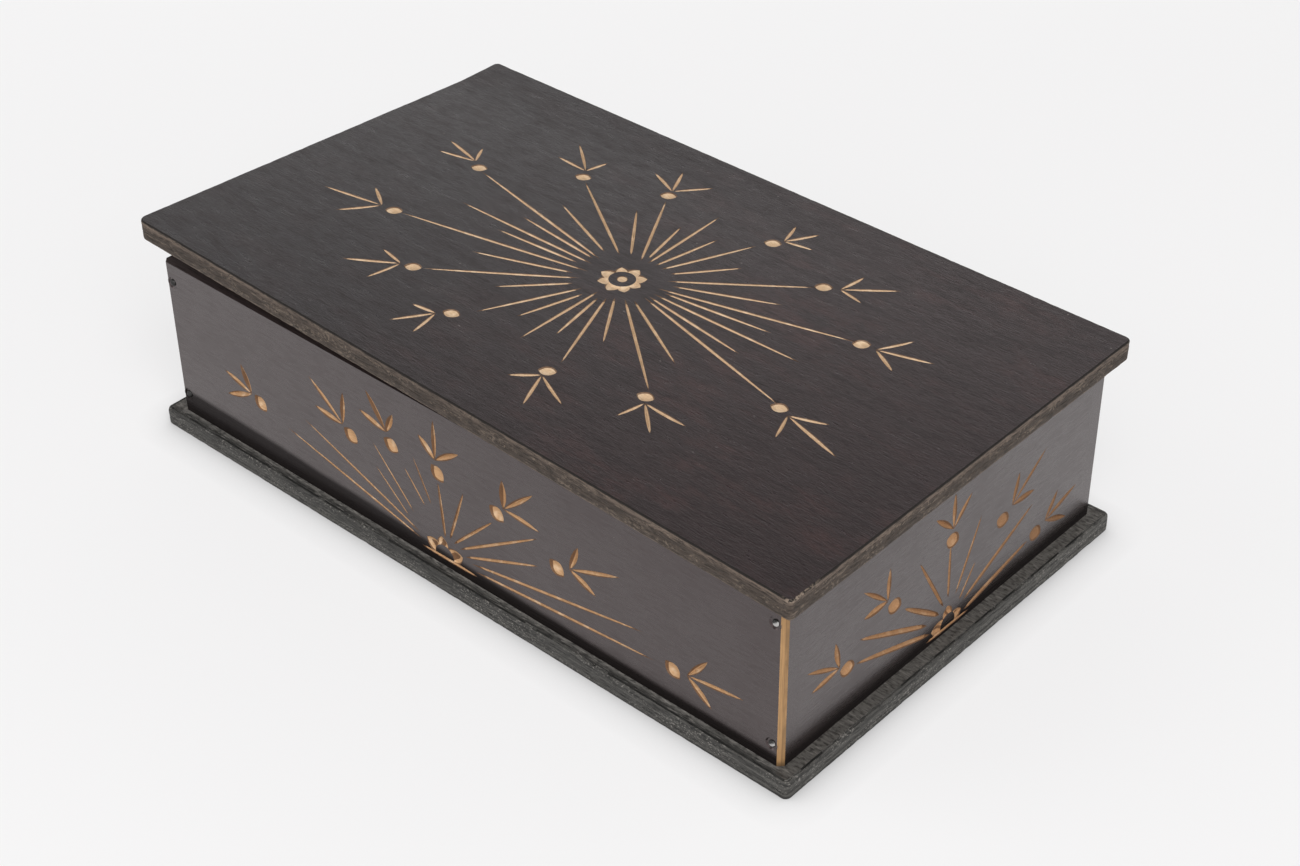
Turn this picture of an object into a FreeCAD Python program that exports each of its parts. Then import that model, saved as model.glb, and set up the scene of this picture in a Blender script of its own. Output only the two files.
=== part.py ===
"""A hinged wooden keepsake box: nailed board walls, a ledged base board and an overhanging board lid.

Millimetres. +X runs along the length, the front faces -Y, +Z is up.
The origin is the middle of the underside of the base board.
"""
import FreeCAD, Part
import math
import os

from FreeCAD import Rotation, Vector

# Case walls
CASE_LENGTH = 250.0
CASE_DEPTH = 148.0
WALL_HEIGHT = 56.5
WALL_THICKNESS = 7.0
CORNER_CHAMFER = 1.6

# Base board, which stands out round the walls as a ledge
BASE_THICKNESS = 6.0
BASE_SIDE_LEDGE = 3.8
BASE_END_LEDGE = 5.2
BASE_CORNER_RADIUS = 2.0
BASE_TOP_ROUND = 1.4
BASE_BOTTOM_ROUND = 0.3

# Lid board, which has twisted: its front left corner stands up, and its back strip is held flat
LID_THICKNESS = 6.8
LID_SIDE_OVERHANG = 4.0
LID_END_OVERHANG = 4.5
LID_CORNER_RADIUS = 1.5
LID_EDGE_ROUND = 0.6
LID_SEAT_GAP = 0.3
LID_CORNER_LIFT = 8.0
LID_FLAT_STRIP = 18.0

# Brass butt hinges, let into notches across the top of the back wall
HINGE_LENGTH = 28.0
HINGE_INSET = 45.0
HINGE_LEAF_THICKNESS = 0.8
HINGE_LEAF_SETBACK = 0.3
HINGE_PIN_DIAMETER = 1.7
HINGE_PIN_FIT = 0.05
HINGE_PIN_HEAD_DIAMETER = 2.6
HINGE_PIN_HEAD_HEIGHT = 0.6
HINGE_KNUCKLES = 5
HINGE_KNUCKLE_GAP = 0.2
HINGE_BARREL_CLEARANCE = 0.4
HINGE_NOTCH_CLEARANCE = 0.4
HINGE_CORNER_RADIUS = 1.0

# Countersunk screws through the hinge leaves
SCREW_SPACING = 16.0
SCREW_HEAD_DIAMETER = 2.9
SCREW_SHANK_DIAMETER = 1.5
SCREW_LENGTH = 5.0
SCREW_POINT = 1.2

# Round headed nails through the long walls into the ends of the short ones
CORNER_NAIL_HEAD_DIAMETER = 2.4
CORNER_NAIL_HEAD_HEIGHT = 0.8
CORNER_NAIL_SHANK_DIAMETER = 1.2
CORNER_NAIL_LENGTH = 20.0
CORNER_NAIL_FROM_TOP = 7.0
CORNER_NAIL_FROM_BOTTOM = 7.0
CORNER_NAIL_DENT_DEPTH = 0.4
CORNER_NAIL_DENT_RIM = 0.5

# Flat headed nails up through the base board into the walls
BASE_NAIL_HEAD_DIAMETER = 3.0
BASE_NAIL_HEAD_HEIGHT = 0.7
BASE_NAIL_SHANK_DIAMETER = 1.4
BASE_NAIL_LENGTH = 18.0
BASE_NAIL_SINK = 0.3
BASE_NAIL_END_INSET = 30.0
BASE_NAILS_PER_SIDE = 3

# Room left round every nail and screw in its hole
FASTENER_FIT = 0.05

# Two coordinates this close count as the same when edges are picked
SAME_PLACE = 1e-3

# Places worked out from the sizes above
half_length = CASE_LENGTH / 2
half_depth = CASE_DEPTH / 2
wall_top = BASE_THICKNESS + WALL_HEIGHT
lid_underside = wall_top + LID_SEAT_GAP
lid_half_length = half_length + LID_END_OVERHANG
lid_half_depth = half_depth + LID_SIDE_OVERHANG
lid_fold = lid_half_depth - LID_FLAT_STRIP

pin_radius = HINGE_PIN_DIAMETER / 2
bore_radius = pin_radius + HINGE_PIN_FIT
barrel_radius = bore_radius + HINGE_LEAF_THICKNESS
hinge_axis_y = half_depth
hinge_axis_z = lid_underside - barrel_radius
notch_floor = hinge_axis_z - barrel_radius
leaf_width = WALL_THICKNESS - HINGE_LEAF_SETBACK
leaf_plate_edge = barrel_radius + HINGE_BARREL_CLEARANCE
screw_from_axis = (leaf_width + leaf_plate_edge) / 2
hinge_places = {"left": HINGE_INSET - half_length, "right": half_length - HINGE_INSET}

OUT_FRONT = Vector(0, -1, 0)
OUT_BACK = Vector(0, 1, 0)
UP = Vector(0, 0, 1)
DOWN = Vector(0, 0, -1)
ALONG = Vector(1, 0, 0)


def block(x_range, y_range, z_range):
    """A plain board between three pairs of limits."""
    size = [high - low for low, high in (x_range, y_range, z_range)]
    return Part.makeBox(*size, Vector(x_range[0], y_range[0], z_range[0]))


def prism(points, vector):
    """A straight sided solid from a closed outline."""
    return Part.Face(Part.makePolygon(points + points[:1])).extrude(vector)


def round_edges(solid, radius, chosen):
    """Round the edges of a solid that a test picks."""
    return solid.makeFillet(radius, [edge for edge in solid.Edges if chosen(edge)])


def is_upright(edge):
    """True for a straight edge that runs up and down."""
    box = edge.BoundBox
    return box.XLength < SAME_PLACE and box.YLength < SAME_PLACE


def is_lid_outline(edge):
    """True for the edges round the lid's top and underside, but not its corners or its fold."""
    box = edge.BoundBox
    on_fold = box.YLength < SAME_PLACE and abs(box.YMin - lid_fold) < SAME_PLACE
    return not is_upright(edge) and not on_fold


def turned(edges):
    """A solid turned about Z from the edges of half its outline, in the XZ plane."""
    return Part.Face(Part.Wire(edges)).revolve(Vector(), UP, 360)


def lines(points):
    """Straight edges through (radius, height) points in the XZ plane."""
    corners = [Vector(radius, 0, height) for radius, height in points]
    return [Part.makeLine(a, b) for a, b in zip(corners, corners[1:])]


def set_out(solid, place, outward):
    """A copy of a solid with its origin at a place and its +Z turned outward."""
    moved = solid.copy()
    moved.Placement = FreeCAD.Placement(place, Rotation(UP, outward))
    return moved


def domed_nail():
    """A round headed nail, with its head seated at the origin and its point down."""
    head = CORNER_NAIL_HEAD_DIAMETER / 2
    shank = CORNER_NAIL_SHANK_DIAMETER / 2
    top = CORNER_NAIL_HEAD_HEIGHT
    shoulder = Vector(head * math.cos(math.pi / 4), 0, top * math.sin(math.pi / 4))
    dome = Part.Arc(Vector(0, 0, top), shoulder, Vector(head, 0, 0)).toShape()
    point_start = CORNER_NAIL_SHANK_DIAMETER - CORNER_NAIL_LENGTH
    below = lines([(head, 0), (shank, 0), (shank, point_start), (0, -CORNER_NAIL_LENGTH), (0, top)])
    return turned([dome] + below)


def flat_nail():
    """A flat headed nail, with its head seated at the origin and its point down."""
    head = BASE_NAIL_HEAD_DIAMETER / 2
    shank = BASE_NAIL_SHANK_DIAMETER / 2
    top = BASE_NAIL_HEAD_HEIGHT
    point_start = BASE_NAIL_SHANK_DIAMETER - BASE_NAIL_LENGTH
    above = [(0, top), (head, top), (head, 0), (shank, 0)]
    below = [(shank, point_start), (0, -BASE_NAIL_LENGTH), (0, top)]
    return turned(lines(above + below))


def wood_screw(room=0.0):
    """A countersunk screw with its head flush at the origin, or its hole with room all round."""
    head = SCREW_HEAD_DIAMETER / 2 + room
    shank = SCREW_SHANK_DIAMETER / 2 + room
    point_start = SCREW_POINT - SCREW_LENGTH
    tip = -SCREW_LENGTH - room
    outline = [(0, 0), (head, 0), (shank, shank - head), (shank, point_start), (0, tip), (0, 0)]
    return turned(lines(outline))


def straight_hole(diameter, length):
    """A drilled hole of a fastener's shank, from the origin down."""
    return Part.makeCylinder(diameter / 2 + FASTENER_FIT, length + FASTENER_FIT, Vector(), DOWN)


def corner_nail_seats(side):
    """The head seats of the four nails of the front (-1) or back (+1) wall, by end of the box."""
    heights = (BASE_THICKNESS + CORNER_NAIL_FROM_BOTTOM, wall_top - CORNER_NAIL_FROM_TOP)
    across = half_length - WALL_THICKNESS / 2
    seat = side * (half_depth - CORNER_NAIL_DENT_DEPTH)
    return {
        "left": [Vector(-across, seat, height) for height in heights],
        "right": [Vector(across, seat, height) for height in heights],
    }


def corner_nail_outward(side):
    """The way that the nail heads of the front or back wall face."""
    return OUT_FRONT if side < 0 else OUT_BACK


def corner_nail_hole():
    """The shank hole of a corner nail and the dent that its head is punched into."""
    rim = CORNER_NAIL_HEAD_DIAMETER / 2 + CORNER_NAIL_DENT_RIM
    dent = Part.makeCone(rim, rim + CORNER_NAIL_DENT_DEPTH, 2 * CORNER_NAIL_DENT_DEPTH)
    return dent.fuse(straight_hole(CORNER_NAIL_SHANK_DIAMETER, CORNER_NAIL_LENGTH))


def corner_nail_holes():
    """The holes of all the corner nails, for the walls that they pass through."""
    hole = corner_nail_hole()
    return [
        set_out(hole, seat, corner_nail_outward(side))
        for side in (-1, 1)
        for seats in corner_nail_seats(side).values()
        for seat in seats
    ]


def base_nail_seats():
    """The head seats of the nails in the underside of the base, along the middle of each wall."""
    height = BASE_NAIL_SINK + BASE_NAIL_HEAD_HEIGHT
    across = half_depth - WALL_THICKNESS / 2
    along = half_length - WALL_THICKNESS / 2
    first = BASE_NAIL_END_INSET - half_length
    step = -2 * first / (BASE_NAILS_PER_SIDE - 1)
    places = [first + step * count for count in range(BASE_NAILS_PER_SIDE)]
    seats = [Vector(x, side * across, height) for side in (-1, 1) for x in places]
    return seats + [Vector(end * along, 0, height) for end in (-1, 1)]


def base_nail_holes():
    """The shank hole and the sunk head of each nail through the base."""
    sunk = BASE_NAIL_SINK + BASE_NAIL_HEAD_HEIGHT
    head = Part.makeCylinder(BASE_NAIL_HEAD_DIAMETER / 2 + FASTENER_FIT, sunk)
    hole = head.fuse(straight_hole(BASE_NAIL_SHANK_DIAMETER, BASE_NAIL_LENGTH))
    return [set_out(hole, seat, DOWN) for seat in base_nail_seats()]


def screw_seats(middle, height):
    """The head seats of the two screws of a leaf, at a height."""
    y = hinge_axis_y - screw_from_axis
    return [Vector(middle + offset, y, height) for offset in (-SCREW_SPACING / 2, SCREW_SPACING / 2)]


def case_screw_seats(middle):
    """Where the screws of a case leaf sit: flush with its upper face."""
    return screw_seats(middle, notch_floor + HINGE_LEAF_THICKNESS)


def lid_screw_seats(middle):
    """Where the screws of a lid leaf sit: flush with its lower face."""
    return screw_seats(middle, lid_underside - HINGE_LEAF_THICKNESS)


def base_board():
    """The board under the walls, with rounded corners and a rounded ledge."""
    reach_x = half_length + BASE_END_LEDGE
    reach_y = half_depth + BASE_SIDE_LEDGE
    board = block((-reach_x, reach_x), (-reach_y, reach_y), (0, BASE_THICKNESS))
    board = round_edges(board, BASE_CORNER_RADIUS, is_upright)
    upper = BASE_THICKNESS - SAME_PLACE
    board = round_edges(board, BASE_TOP_ROUND, lambda edge: edge.BoundBox.ZMin > upper)
    board = round_edges(board, BASE_BOTTOM_ROUND, lambda edge: edge.BoundBox.ZMax < SAME_PLACE)
    return board.cut(base_nail_holes())


def long_wall(side):
    """The front (-1) or back (+1) wall, across the ends of the short walls, with chamfered corners."""
    outer = side * half_depth
    inner = side * (half_depth - WALL_THICKNESS)
    below = side * (half_depth - CORNER_CHAMFER)
    short = half_length - CORNER_CHAMFER
    outline = [
        Vector(-half_length, inner, BASE_THICKNESS),
        Vector(half_length, inner, BASE_THICKNESS),
        Vector(half_length, below, BASE_THICKNESS),
        Vector(short, outer, BASE_THICKNESS),
        Vector(-short, outer, BASE_THICKNESS),
        Vector(-half_length, below, BASE_THICKNESS),
    ]
    return prism(outline, UP * WALL_HEIGHT).cut(corner_nail_holes() + base_nail_holes())


def back_wall():
    """The back wall, with a notch for each hinge sawn across its top edge."""
    wall = long_wall(1)
    half_notch = HINGE_LENGTH / 2 + HINGE_PIN_HEAD_HEIGHT + HINGE_NOTCH_CLEARANCE
    y_range = (half_depth - 2 * WALL_THICKNESS, half_depth + WALL_THICKNESS)
    z_range = (notch_floor, wall_top + WALL_THICKNESS)
    screw_hole = wood_screw(FASTENER_FIT)
    for middle in hinge_places.values():
        wall = wall.cut(block((middle - half_notch, middle + half_notch), y_range, z_range))
        wall = wall.cut([set_out(screw_hole, seat, UP) for seat in case_screw_seats(middle)])
    return wall


def end_wall(end):
    """The left (-1) or right (+1) short wall, between the long ones."""
    x_range = sorted((end * half_length, end * (half_length - WALL_THICKNESS)))
    inner_depth = half_depth - WALL_THICKNESS
    wall = block(x_range, (-inner_depth, inner_depth), (BASE_THICKNESS, wall_top))
    return wall.cut(corner_nail_holes() + base_nail_holes())


def lid_section(x, lift):
    """The lid's outline across the grain: flat at the back, and lifted towards the front."""
    underside = [(lid_half_depth, 0), (lid_fold, 0), (-lid_half_depth, lift)]
    top = [(y, z + LID_THICKNESS) for y, z in reversed(underside)]
    points = [Vector(x, y, lid_underside + z) for y, z in underside + top]
    return Part.makePolygon(points + points[:1])


def lid_panel():
    """The lid board, twisted from its level right end to its lifted left end."""
    sections = [lid_section(-lid_half_length, LID_CORNER_LIFT), lid_section(lid_half_length, 0)]
    board = Part.makeLoft(sections, True, True)
    board = round_edges(board, LID_CORNER_RADIUS, is_upright)
    board = round_edges(board, LID_EDGE_ROUND, is_lid_outline)
    screw_hole = wood_screw(FASTENER_FIT)
    seats = [seat for middle in hinge_places.values() for seat in lid_screw_seats(middle)]
    return board.cut([set_out(screw_hole, seat, DOWN) for seat in seats])


def knuckle_spans(middle, first):
    """The stretches along the pin of every second knuckle, from the first one."""
    pitch = HINGE_LENGTH / HINGE_KNUCKLES
    start = middle - HINGE_LENGTH / 2
    trim = HINGE_KNUCKLE_GAP / 2
    starts = [start + count * pitch for count in range(first, HINGE_KNUCKLES, 2)]
    return [(low + trim, low + pitch - trim) for low in starts]


def hinge_leaf(middle, first, sheet, seats, outward):
    """A leaf: a plate with tongues that roll round the pin, drilled and countersunk for its screws."""
    plate_y = (hinge_axis_y - leaf_width, hinge_axis_y - leaf_plate_edge)
    leaf = block((middle - HINGE_LENGTH / 2, middle + HINGE_LENGTH / 2), plate_y, sheet)
    free_edge = hinge_axis_y - leaf_width + SAME_PLACE
    leaf = round_edges(leaf, HINGE_CORNER_RADIUS, lambda e: is_upright(e) and e.BoundBox.YMax < free_edge)
    for span in knuckle_spans(middle, first):
        start = Vector(span[0], hinge_axis_y, hinge_axis_z)
        barrel = Part.makeCylinder(barrel_radius, span[1] - span[0], start, ALONG)
        leaf = leaf.fuse([block(span, (plate_y[1], hinge_axis_y), sheet), barrel])
    bore_start = Vector(middle - HINGE_LENGTH, hinge_axis_y, hinge_axis_z)
    leaf = leaf.cut(Part.makeCylinder(bore_radius, 2 * HINGE_LENGTH, bore_start, ALONG))
    screw_hole = wood_screw(FASTENER_FIT)
    return leaf.cut([set_out(screw_hole, seat, outward) for seat in seats]).removeSplitter()


def hinge_case_leaf(middle):
    """The leaf on the floor of the notch, which holds the outer knuckles."""
    sheet = (notch_floor, notch_floor + HINGE_LEAF_THICKNESS)
    return hinge_leaf(middle, 0, sheet, case_screw_seats(middle), UP)


def hinge_lid_leaf(middle):
    """The leaf under the lid, whose knuckles run between those of the case leaf."""
    sheet = (lid_underside - HINGE_LEAF_THICKNESS, lid_underside)
    return hinge_leaf(middle, 1, sheet, lid_screw_seats(middle), DOWN)


def hinge_pin(middle):
    """The pin along a barrel, with a head formed on each end."""
    half = HINGE_LENGTH / 2
    head_radius = HINGE_PIN_HEAD_DIAMETER / 2
    start = Vector(middle - half, hinge_axis_y, hinge_axis_z)
    pin = Part.makeCylinder(pin_radius, HINGE_LENGTH, start, ALONG)
    for end in (-1, 1):
        place = Vector(middle + end * half, hinge_axis_y, hinge_axis_z)
        pin = pin.fuse(Part.makeCone(head_radius, pin_radius, HINGE_PIN_HEAD_HEIGHT, place, ALONG * end))
    return pin.removeSplitter()


def group(solid, seats, outward):
    """Like fasteners set out at their seats, as separate solids of one part."""
    return Part.makeCompound([set_out(solid, seat, outward) for seat in seats])


def parts():
    """Every piece of the box by name."""
    pieces = {
        "base_board": base_board(),
        "front_wall": long_wall(-1),
        "back_wall": back_wall(),
        "left_end_wall": end_wall(-1),
        "right_end_wall": end_wall(1),
        "lid_panel": lid_panel(),
        "base_nails": group(flat_nail(), base_nail_seats(), DOWN),
    }
    for face, side in (("front", -1), ("back", 1)):
        for end, seats in corner_nail_seats(side).items():
            name = f"{face}_{end}_corner_nails"
            pieces[name] = group(domed_nail(), seats, corner_nail_outward(side))
    for end, middle in hinge_places.items():
        pieces[f"{end}_hinge_case_leaf"] = hinge_case_leaf(middle)
        pieces[f"{end}_hinge_lid_leaf"] = hinge_lid_leaf(middle)
        pieces[f"{end}_hinge_pin"] = hinge_pin(middle)
        pieces[f"{end}_hinge_case_screws"] = group(wood_screw(), case_screw_seats(middle), UP)
        pieces[f"{end}_hinge_lid_screws"] = group(wood_screw(), lid_screw_seats(middle), DOWN)
    return pieces


def lid_stop_angle():
    """The opening angle at which the lid's back overhang comes against the back wall."""
    return 90 + math.degrees(math.atan2(barrel_radius, LID_SIDE_OVERHANG))


def main():
    os.makedirs("parts", exist_ok=True)
    for name, shape in parts().items():
        print(f"{name}: {len(shape.Solids)} solids, valid {shape.isValid()}, {shape.Volume:.1f} mm3")
        shape.exportStep(f"parts/{name}.step")
    print(f"the lid's overhang meets the back wall at {lid_stop_angle():.1f} degrees")


main()
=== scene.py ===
"""Looks of a hinged keepsake box: stained boards with carved sunbursts, nails and hinges, in a pale studio.

Run as a script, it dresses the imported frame, in the frame's own place and size.
Boards and their carving are laid out in millimetres on each board's own face, and placed in metres.
"""

import math
from collections import namedtuple

import bpy
from bpy.props import FloatProperty, FloatVectorProperty, PointerProperty
from mathutils import Matrix, Vector, noise
from mathutils.geometry import delaunay_2d_cdt


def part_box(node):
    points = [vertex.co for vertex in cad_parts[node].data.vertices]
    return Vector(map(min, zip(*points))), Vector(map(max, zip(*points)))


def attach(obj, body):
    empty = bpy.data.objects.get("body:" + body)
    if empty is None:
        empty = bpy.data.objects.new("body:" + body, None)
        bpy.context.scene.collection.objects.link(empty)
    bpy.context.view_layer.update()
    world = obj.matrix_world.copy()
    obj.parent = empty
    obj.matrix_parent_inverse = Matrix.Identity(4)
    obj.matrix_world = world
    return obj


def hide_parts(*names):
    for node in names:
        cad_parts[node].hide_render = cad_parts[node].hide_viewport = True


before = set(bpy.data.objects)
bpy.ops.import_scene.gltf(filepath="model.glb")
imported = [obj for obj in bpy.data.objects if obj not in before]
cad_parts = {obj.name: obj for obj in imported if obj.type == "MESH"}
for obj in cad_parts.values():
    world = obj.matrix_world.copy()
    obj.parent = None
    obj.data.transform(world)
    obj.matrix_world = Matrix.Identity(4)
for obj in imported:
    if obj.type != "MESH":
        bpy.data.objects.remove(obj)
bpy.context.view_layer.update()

bl_info = {
    "name": "Carved keepsake box",
    "version": (1, 0, 0),
    "blender": (4, 5, 0),
    "location": "3D View > Sidebar > Keepsake box",
    "description": "Dresses the packed box in stained and carved wood and sets it on a pale studio floor",
    "category": "Object",
}

MM = 0.001

# The photograph's width in pixels, and the camera's sensor and near limit in millimetres
PHOTO_WIDTH = 1300
SENSOR_WIDTH = 36.0
CLIP_START = 10.0

# Board sizes of the frame that its boxes don't give, in millimetres
LID_THICKNESS = 6.8
LID_CORNER_LIFT = 8.0
LID_FLAT_STRIP = 18.0
LID_CORNER_RADIUS = 1.5
LID_CORNER_KNOCKS = (0.0, 0.6, 0.3, 1.6)
LID_EDGE_ROUND = 0.6
LID_FACE_WEAR = 0.01
BASE_CORNER_RADIUS = 2.0
BASE_TOP_ROUND = 1.4
BASE_BOTTOM_ROUND = 0.3
CORNER_CHAMFER = 1.6
NAIL_DENT_RADIUS = 1.7
NAIL_DENT_DEPTH = 0.4
BASE_NAIL_FIT = 0.05
BASE_NAIL_POCKET = 1.0
BASE_NAIL_END_INSET = 30.0
HINGE_NOTCH_CLEARANCE = 0.4
# From a wall's outer face to the middle of its thickness, in millimetres
WALL_MIDDLE = 3.5
# Rings round the lid's edge, with two faint grooves: how far each stands out, and its drop under the face
LID_EDGE_LAYERS = ((0.0, 1.6), (-0.12, 1.9), (0.0, 2.2), (0.0, 3.7), (-0.15, 4.0), (0.0, 4.3))

# The floor: how far it reaches, in metres, and its rim and gap under the base board, in millimetres
FLOOR_REACH = 6.0
FLOOR_RIM = 2.5
FLOOR_GAP = 0.02
# How far the box's contact with the floor keeps the floor from being lifted to white, in millimetres
CONTACT_REACH = 12.0

# What the camera sees: the floor's colour where it is lifted to white, and the backdrop's strength
FLOOR_SEEN = (0.94, 0.935, 0.937)
BACKDROP_SEEN = 0.96
# Soft lights, in metres: the point that they look at, and their places and sizes
LIT_POINT = Vector((0.0, 0.0, 0.03))
KEY_PLACE = Vector((1.3, -1.1, 2.0))
KEY_SIZE = 1.6
FILL_PLACE = Vector((-1.2, -1.0, 1.2))
FILL_SIZE = 1.2

# Spacing of the points along a rim and inside a face, and what counts as one point, in millimetres
RIM_STEP = 0.9
FACE_STEP = 8.0
SAME_POINT = 1e-4
# Faces that meet at less than this angle are shaded as one
SMOOTH_ANGLE = math.radians(28)

# The lid's sunburst, in millimetres from the middle of the lid: a rosette, rays and sprigs
LID_ROSETTE = (-1.0, 2.1)
LID_PETALS = ((2, 7.1), (43, 7.6), (87, 7.4), (134, 6.7), (189, 7.6), (231, 7.6), (276, 7.7), (317, 7.3))
LID_RAYS = (
    ((-1.5, 14), (-3.7, 49.5)),
    ((1, 14.7), (4.8, 38.7)),
    ((3.7, 14.2), (15.7, 44)),
    ((7.5, 14.2), (20.8, 31.3)),
    ((9.5, 10.5), (43.5, 37.7)),
    ((12.5, 9.5), (42.5, 23.8)),
    ((10, 5.5), (70, 23)),
    ((13.3, 5), (49.5, 10.2)),
    ((11.2, 2.5), (64.7, 4.2)),
    ((11.2, 0.5), (49.7, -4.2)),
    ((10.5, -0.8), (74, -15.8)),
    ((9.5, -4.2), (39.7, -20.3)),
    ((7, -5.5), (43.3, -35.3)),
    ((4.5, -7.2), (17.8, -26.5)),
    ((2.7, -8.8), (16.2, -42.2)),
    ((0.8, -10.5), (5.3, -32.8)),
    ((-1.5, -8), (-0.7, -41.3)),
    ((-3.8, -12), (-9.2, -33.8)),
    ((-6.2, -10), (-19.3, -40.2)),
    ((-10, -9.7), (-25, -27)),
    ((-10.7, -6.3), (-47, -34.7)),
    ((-14.2, -5.5), (-43.7, -17.8)),
    ((-11.2, -1.7), (-75.8, -17)),
    ((-17.2, -0.3), (-47.5, -3.2)),
    ((-13.3, 2.2), (-67.2, 0.8)),
    ((-15.3, 4.8), (-47.3, 7.6)),
    ((-13.3, 5.8), (-77, 19)),
    ((-15.5, 10), (-44, 21.5)),
    ((-10.8, 11.7), (-48.8, 37)),
    ((-8.5, 14.2), (-25, 35)),
    ((-4, 13.7), (-22.2, 45.5)),
    ((-3.3, 16.3), (-8.3, 36.7)),
)

# Sprigs of the lid: the bud, the root of its leaves, and the leaves' tips
LID_SPRIGS = (
    ((72.8, 23.5), (77.5, 24), ((83, 34.5), (93.7, 29.3), (87.2, 18.8))),
    ((45.7, 40), (50.2, 42.3), ((51.3, 52), (63.5, 53.3), (59, 40.7))),
    ((18.5, 49.2), (20.3, 52.3), ((17.5, 61.5), (25.8, 62.3), (29.7, 54.3))),
    ((-24.3, 49.2), (-25.2, 52), ((-36.7, 57), (-30.5, 63), (-17.3, 62))),
    ((-52, 39.3), (-54.2, 42.8), ((-67.5, 54), (-66.5, 43.5), (-52.7, 51))),
    ((-80, 20.3), (-84, 22.6), ((-99.2, 26.5), (-97, 19.3), (-88.3, 30))),
    ((-79, -17.8), (-84, -18.3), ((-93.5, -12.3), (-104.5, -22.8), (-91.5, -29.8))),
    ((-50.5, -36.7), (-54.5, -38), ((-63.8, -36.2), (-68.3, -48), (-56, -50))),
    ((-24, -46.5), (-27.3, -49.7), ((-35.3, -51), (-34, -61), (-25, -60.8))),
    ((16.5, -48.2), (16.7, -50.7), ((30, -56.8), (22.5, -64), (10, -57))),
    ((44.8, -38.3), (46.7, -40.7), ((61.5, -41), (56.7, -49.8), (45, -50))),
    ((75.3, -16.7), (79.3, -18), ((90, -13.7), (100, -23.5), (83, -27.7))),
)

# A sunburst: petals as (turn in degrees, reach) round a hub, with painted shade in the burr finish down
# the middle of each petal over a share of its width, a straight cut under half a rosette, rays as (start,
# end) or (start, end, share of width), and sprigs, whose buds have a tilt in degrees and ends from 0, oval,
# to 1, pointed
Sunburst = namedtuple("Sunburst", "middle hub_radius petals core baseline rays sprigs bud_tilt bud_point")
LID_SUNBURST = Sunburst(LID_ROSETTE, 4.2, LID_PETALS, 0.0, None, LID_RAYS, LID_SPRIGS, 24, 0.55)

# The front wall's half sunburst: along the wall from its middle, and height over the floor
FRONT_ROSETTE = (-3.6, 9.8)
FRONT_PETALS = ((154, 8.2), (98, 7.1), (24, 8.5))
FRONT_BASELINE = ((-13.3, 9.0), (10, 9.2))
FRONT_RAYS = (
    ((-13.3, 11.3), (-69.2, 23.3), 0.85),
    ((-13.7, 13.3), (-60.8, 30.5), 0.85),
    ((-18.3, 17.2), (-30.8, 28.8), 0.6),
    ((-16, 20), (-31.3, 37.2), 0.65),
    ((-10.8, 25), (-18.3, 34.7), 0.6),
    ((-8, 27), (-14.2, 40.5), 0.6),
    ((-2.8, 17.2), (-4.3, 36)),
    ((-0.8, 17.8), (5.8, 37.2)),
    ((0.8, 16.8), (17, 33)),
    ((3.3, 16), (34.2, 36.3)),
    ((5.5, 14.3), (34.2, 26.7)),
    ((7.8, 13), (72.2, 25.2)),
    ((9.2, 10.8), (76.2, 17.5)),
)
# Sprigs of the walls: the bud, the root of its leaves, and the leaves' tips
FRONT_SPRIGS = (
    ((-84, 27.2), (-88, 28.8), ((-99.7, 32.2), (-91.7, 38), (-99.7, 23.7))),
    ((-41.7, 35.5), (-45, 38), ((-58.3, 48.8), (-43.8, 49.7), (-56.7, 39.2))),
    ((-23.7, 40.8), (-25.5, 44.7), ((-32.8, 55.8), (-22.2, 52.2), (-36.2, 47.5))),
    ((-4.3, 40.2), (-5, 44.6), ((-11.2, 50.5), (-4.7, 58.3), (4.8, 51.3))),
    ((19.7, 38), (22.5, 41), ((22.5, 50.8), (34.2, 51.7), (36.2, 40.2))),
    ((43, 30.8), (48, 33), ((51.3, 42.2), (66.2, 40.2), (57.5, 28.8))),
    ((86.3, 18.5), (91.5, 19.5), ((98.5, 28.3), (110.8, 22.5), (100, 12.7))),
)

# The end walls' half sunburst: along the wall from its middle, seen from outside, and height over the floor
END_ROSETTE = (0.6, 9.2)
END_PETALS = ((172, 8.0), (96, 6.8), (11, 6.6))
END_BASELINE = ((-9.5, 7.9), (10.7, 7.6))
END_RAYS = (
    ((-8, 10.4), (-41, 22)),
    ((-9.7, 14.7), (-40.2, 29.8)),
    ((-4, 15), (-20.5, 27.8)),
    ((-2.2, 17), (-14.8, 39.6), 0.65),
    ((-0.2, 19), (-1, 38), 0.6),
    ((3.4, 18), (13, 39.6), 0.6),
    ((5.6, 14.6), (12, 24), 0.5),
    ((7.6, 13), (38.8, 28.3), 0.9),
    ((8.4, 9), (38, 15.4)),
)
END_SPRIGS = (
    ((-46.5, 23.5), (-50, 26), ((-63.7, 33), (-61.5, 25), (-52.2, 35.8))),
    ((-26.2, 32.7), (-29.5, 36.4), ((-40.5, 46.2), (-39.8, 36.8), (-29.3, 47.5))),
    ((-0.3, 40), (-0.3, 44), ((-8.8, 51.8), (-0.7, 56.2), (7.2, 52))),
    ((24.7, 32.2), (29, 35), ((31.2, 45.2), (43.8, 46.5), (39.8, 34.2))),
    ((43.3, 16.2), (48, 18), ((53.2, 26.2), (63, 22.5), (59.2, 13))),
)
# The slope of a wall's cuts on their upper left side, facing away from light from the upper left: painted
# shade in the burr finish covers more of it
SHADED_SIDE = Vector((-0.6, 0.8))

# How a board is carved: the finishes of burr rims and clean cuts, the stain, sizes in millimetres, how far
# the painted shade in the burr finish reaches into the shaded slope of a wall's cut, and how much narrower
# upright leaves are
Gouge = namedtuple("Gouge", "finishes stain ray_width bud_size leaf_width torn upright")
# How far a stroke runs to its end, past the mark where it can still be seen, as shares of its seen length
STROKE_OVERRUN = 1.05
LID_RAY_OVERRUN = 1.02
# The share of a stroke's half width that is cut clean, and the share of its length that is torn at each tip
CLEAN_SHARE = 0.75
TORN_TIP = 0.04
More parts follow.
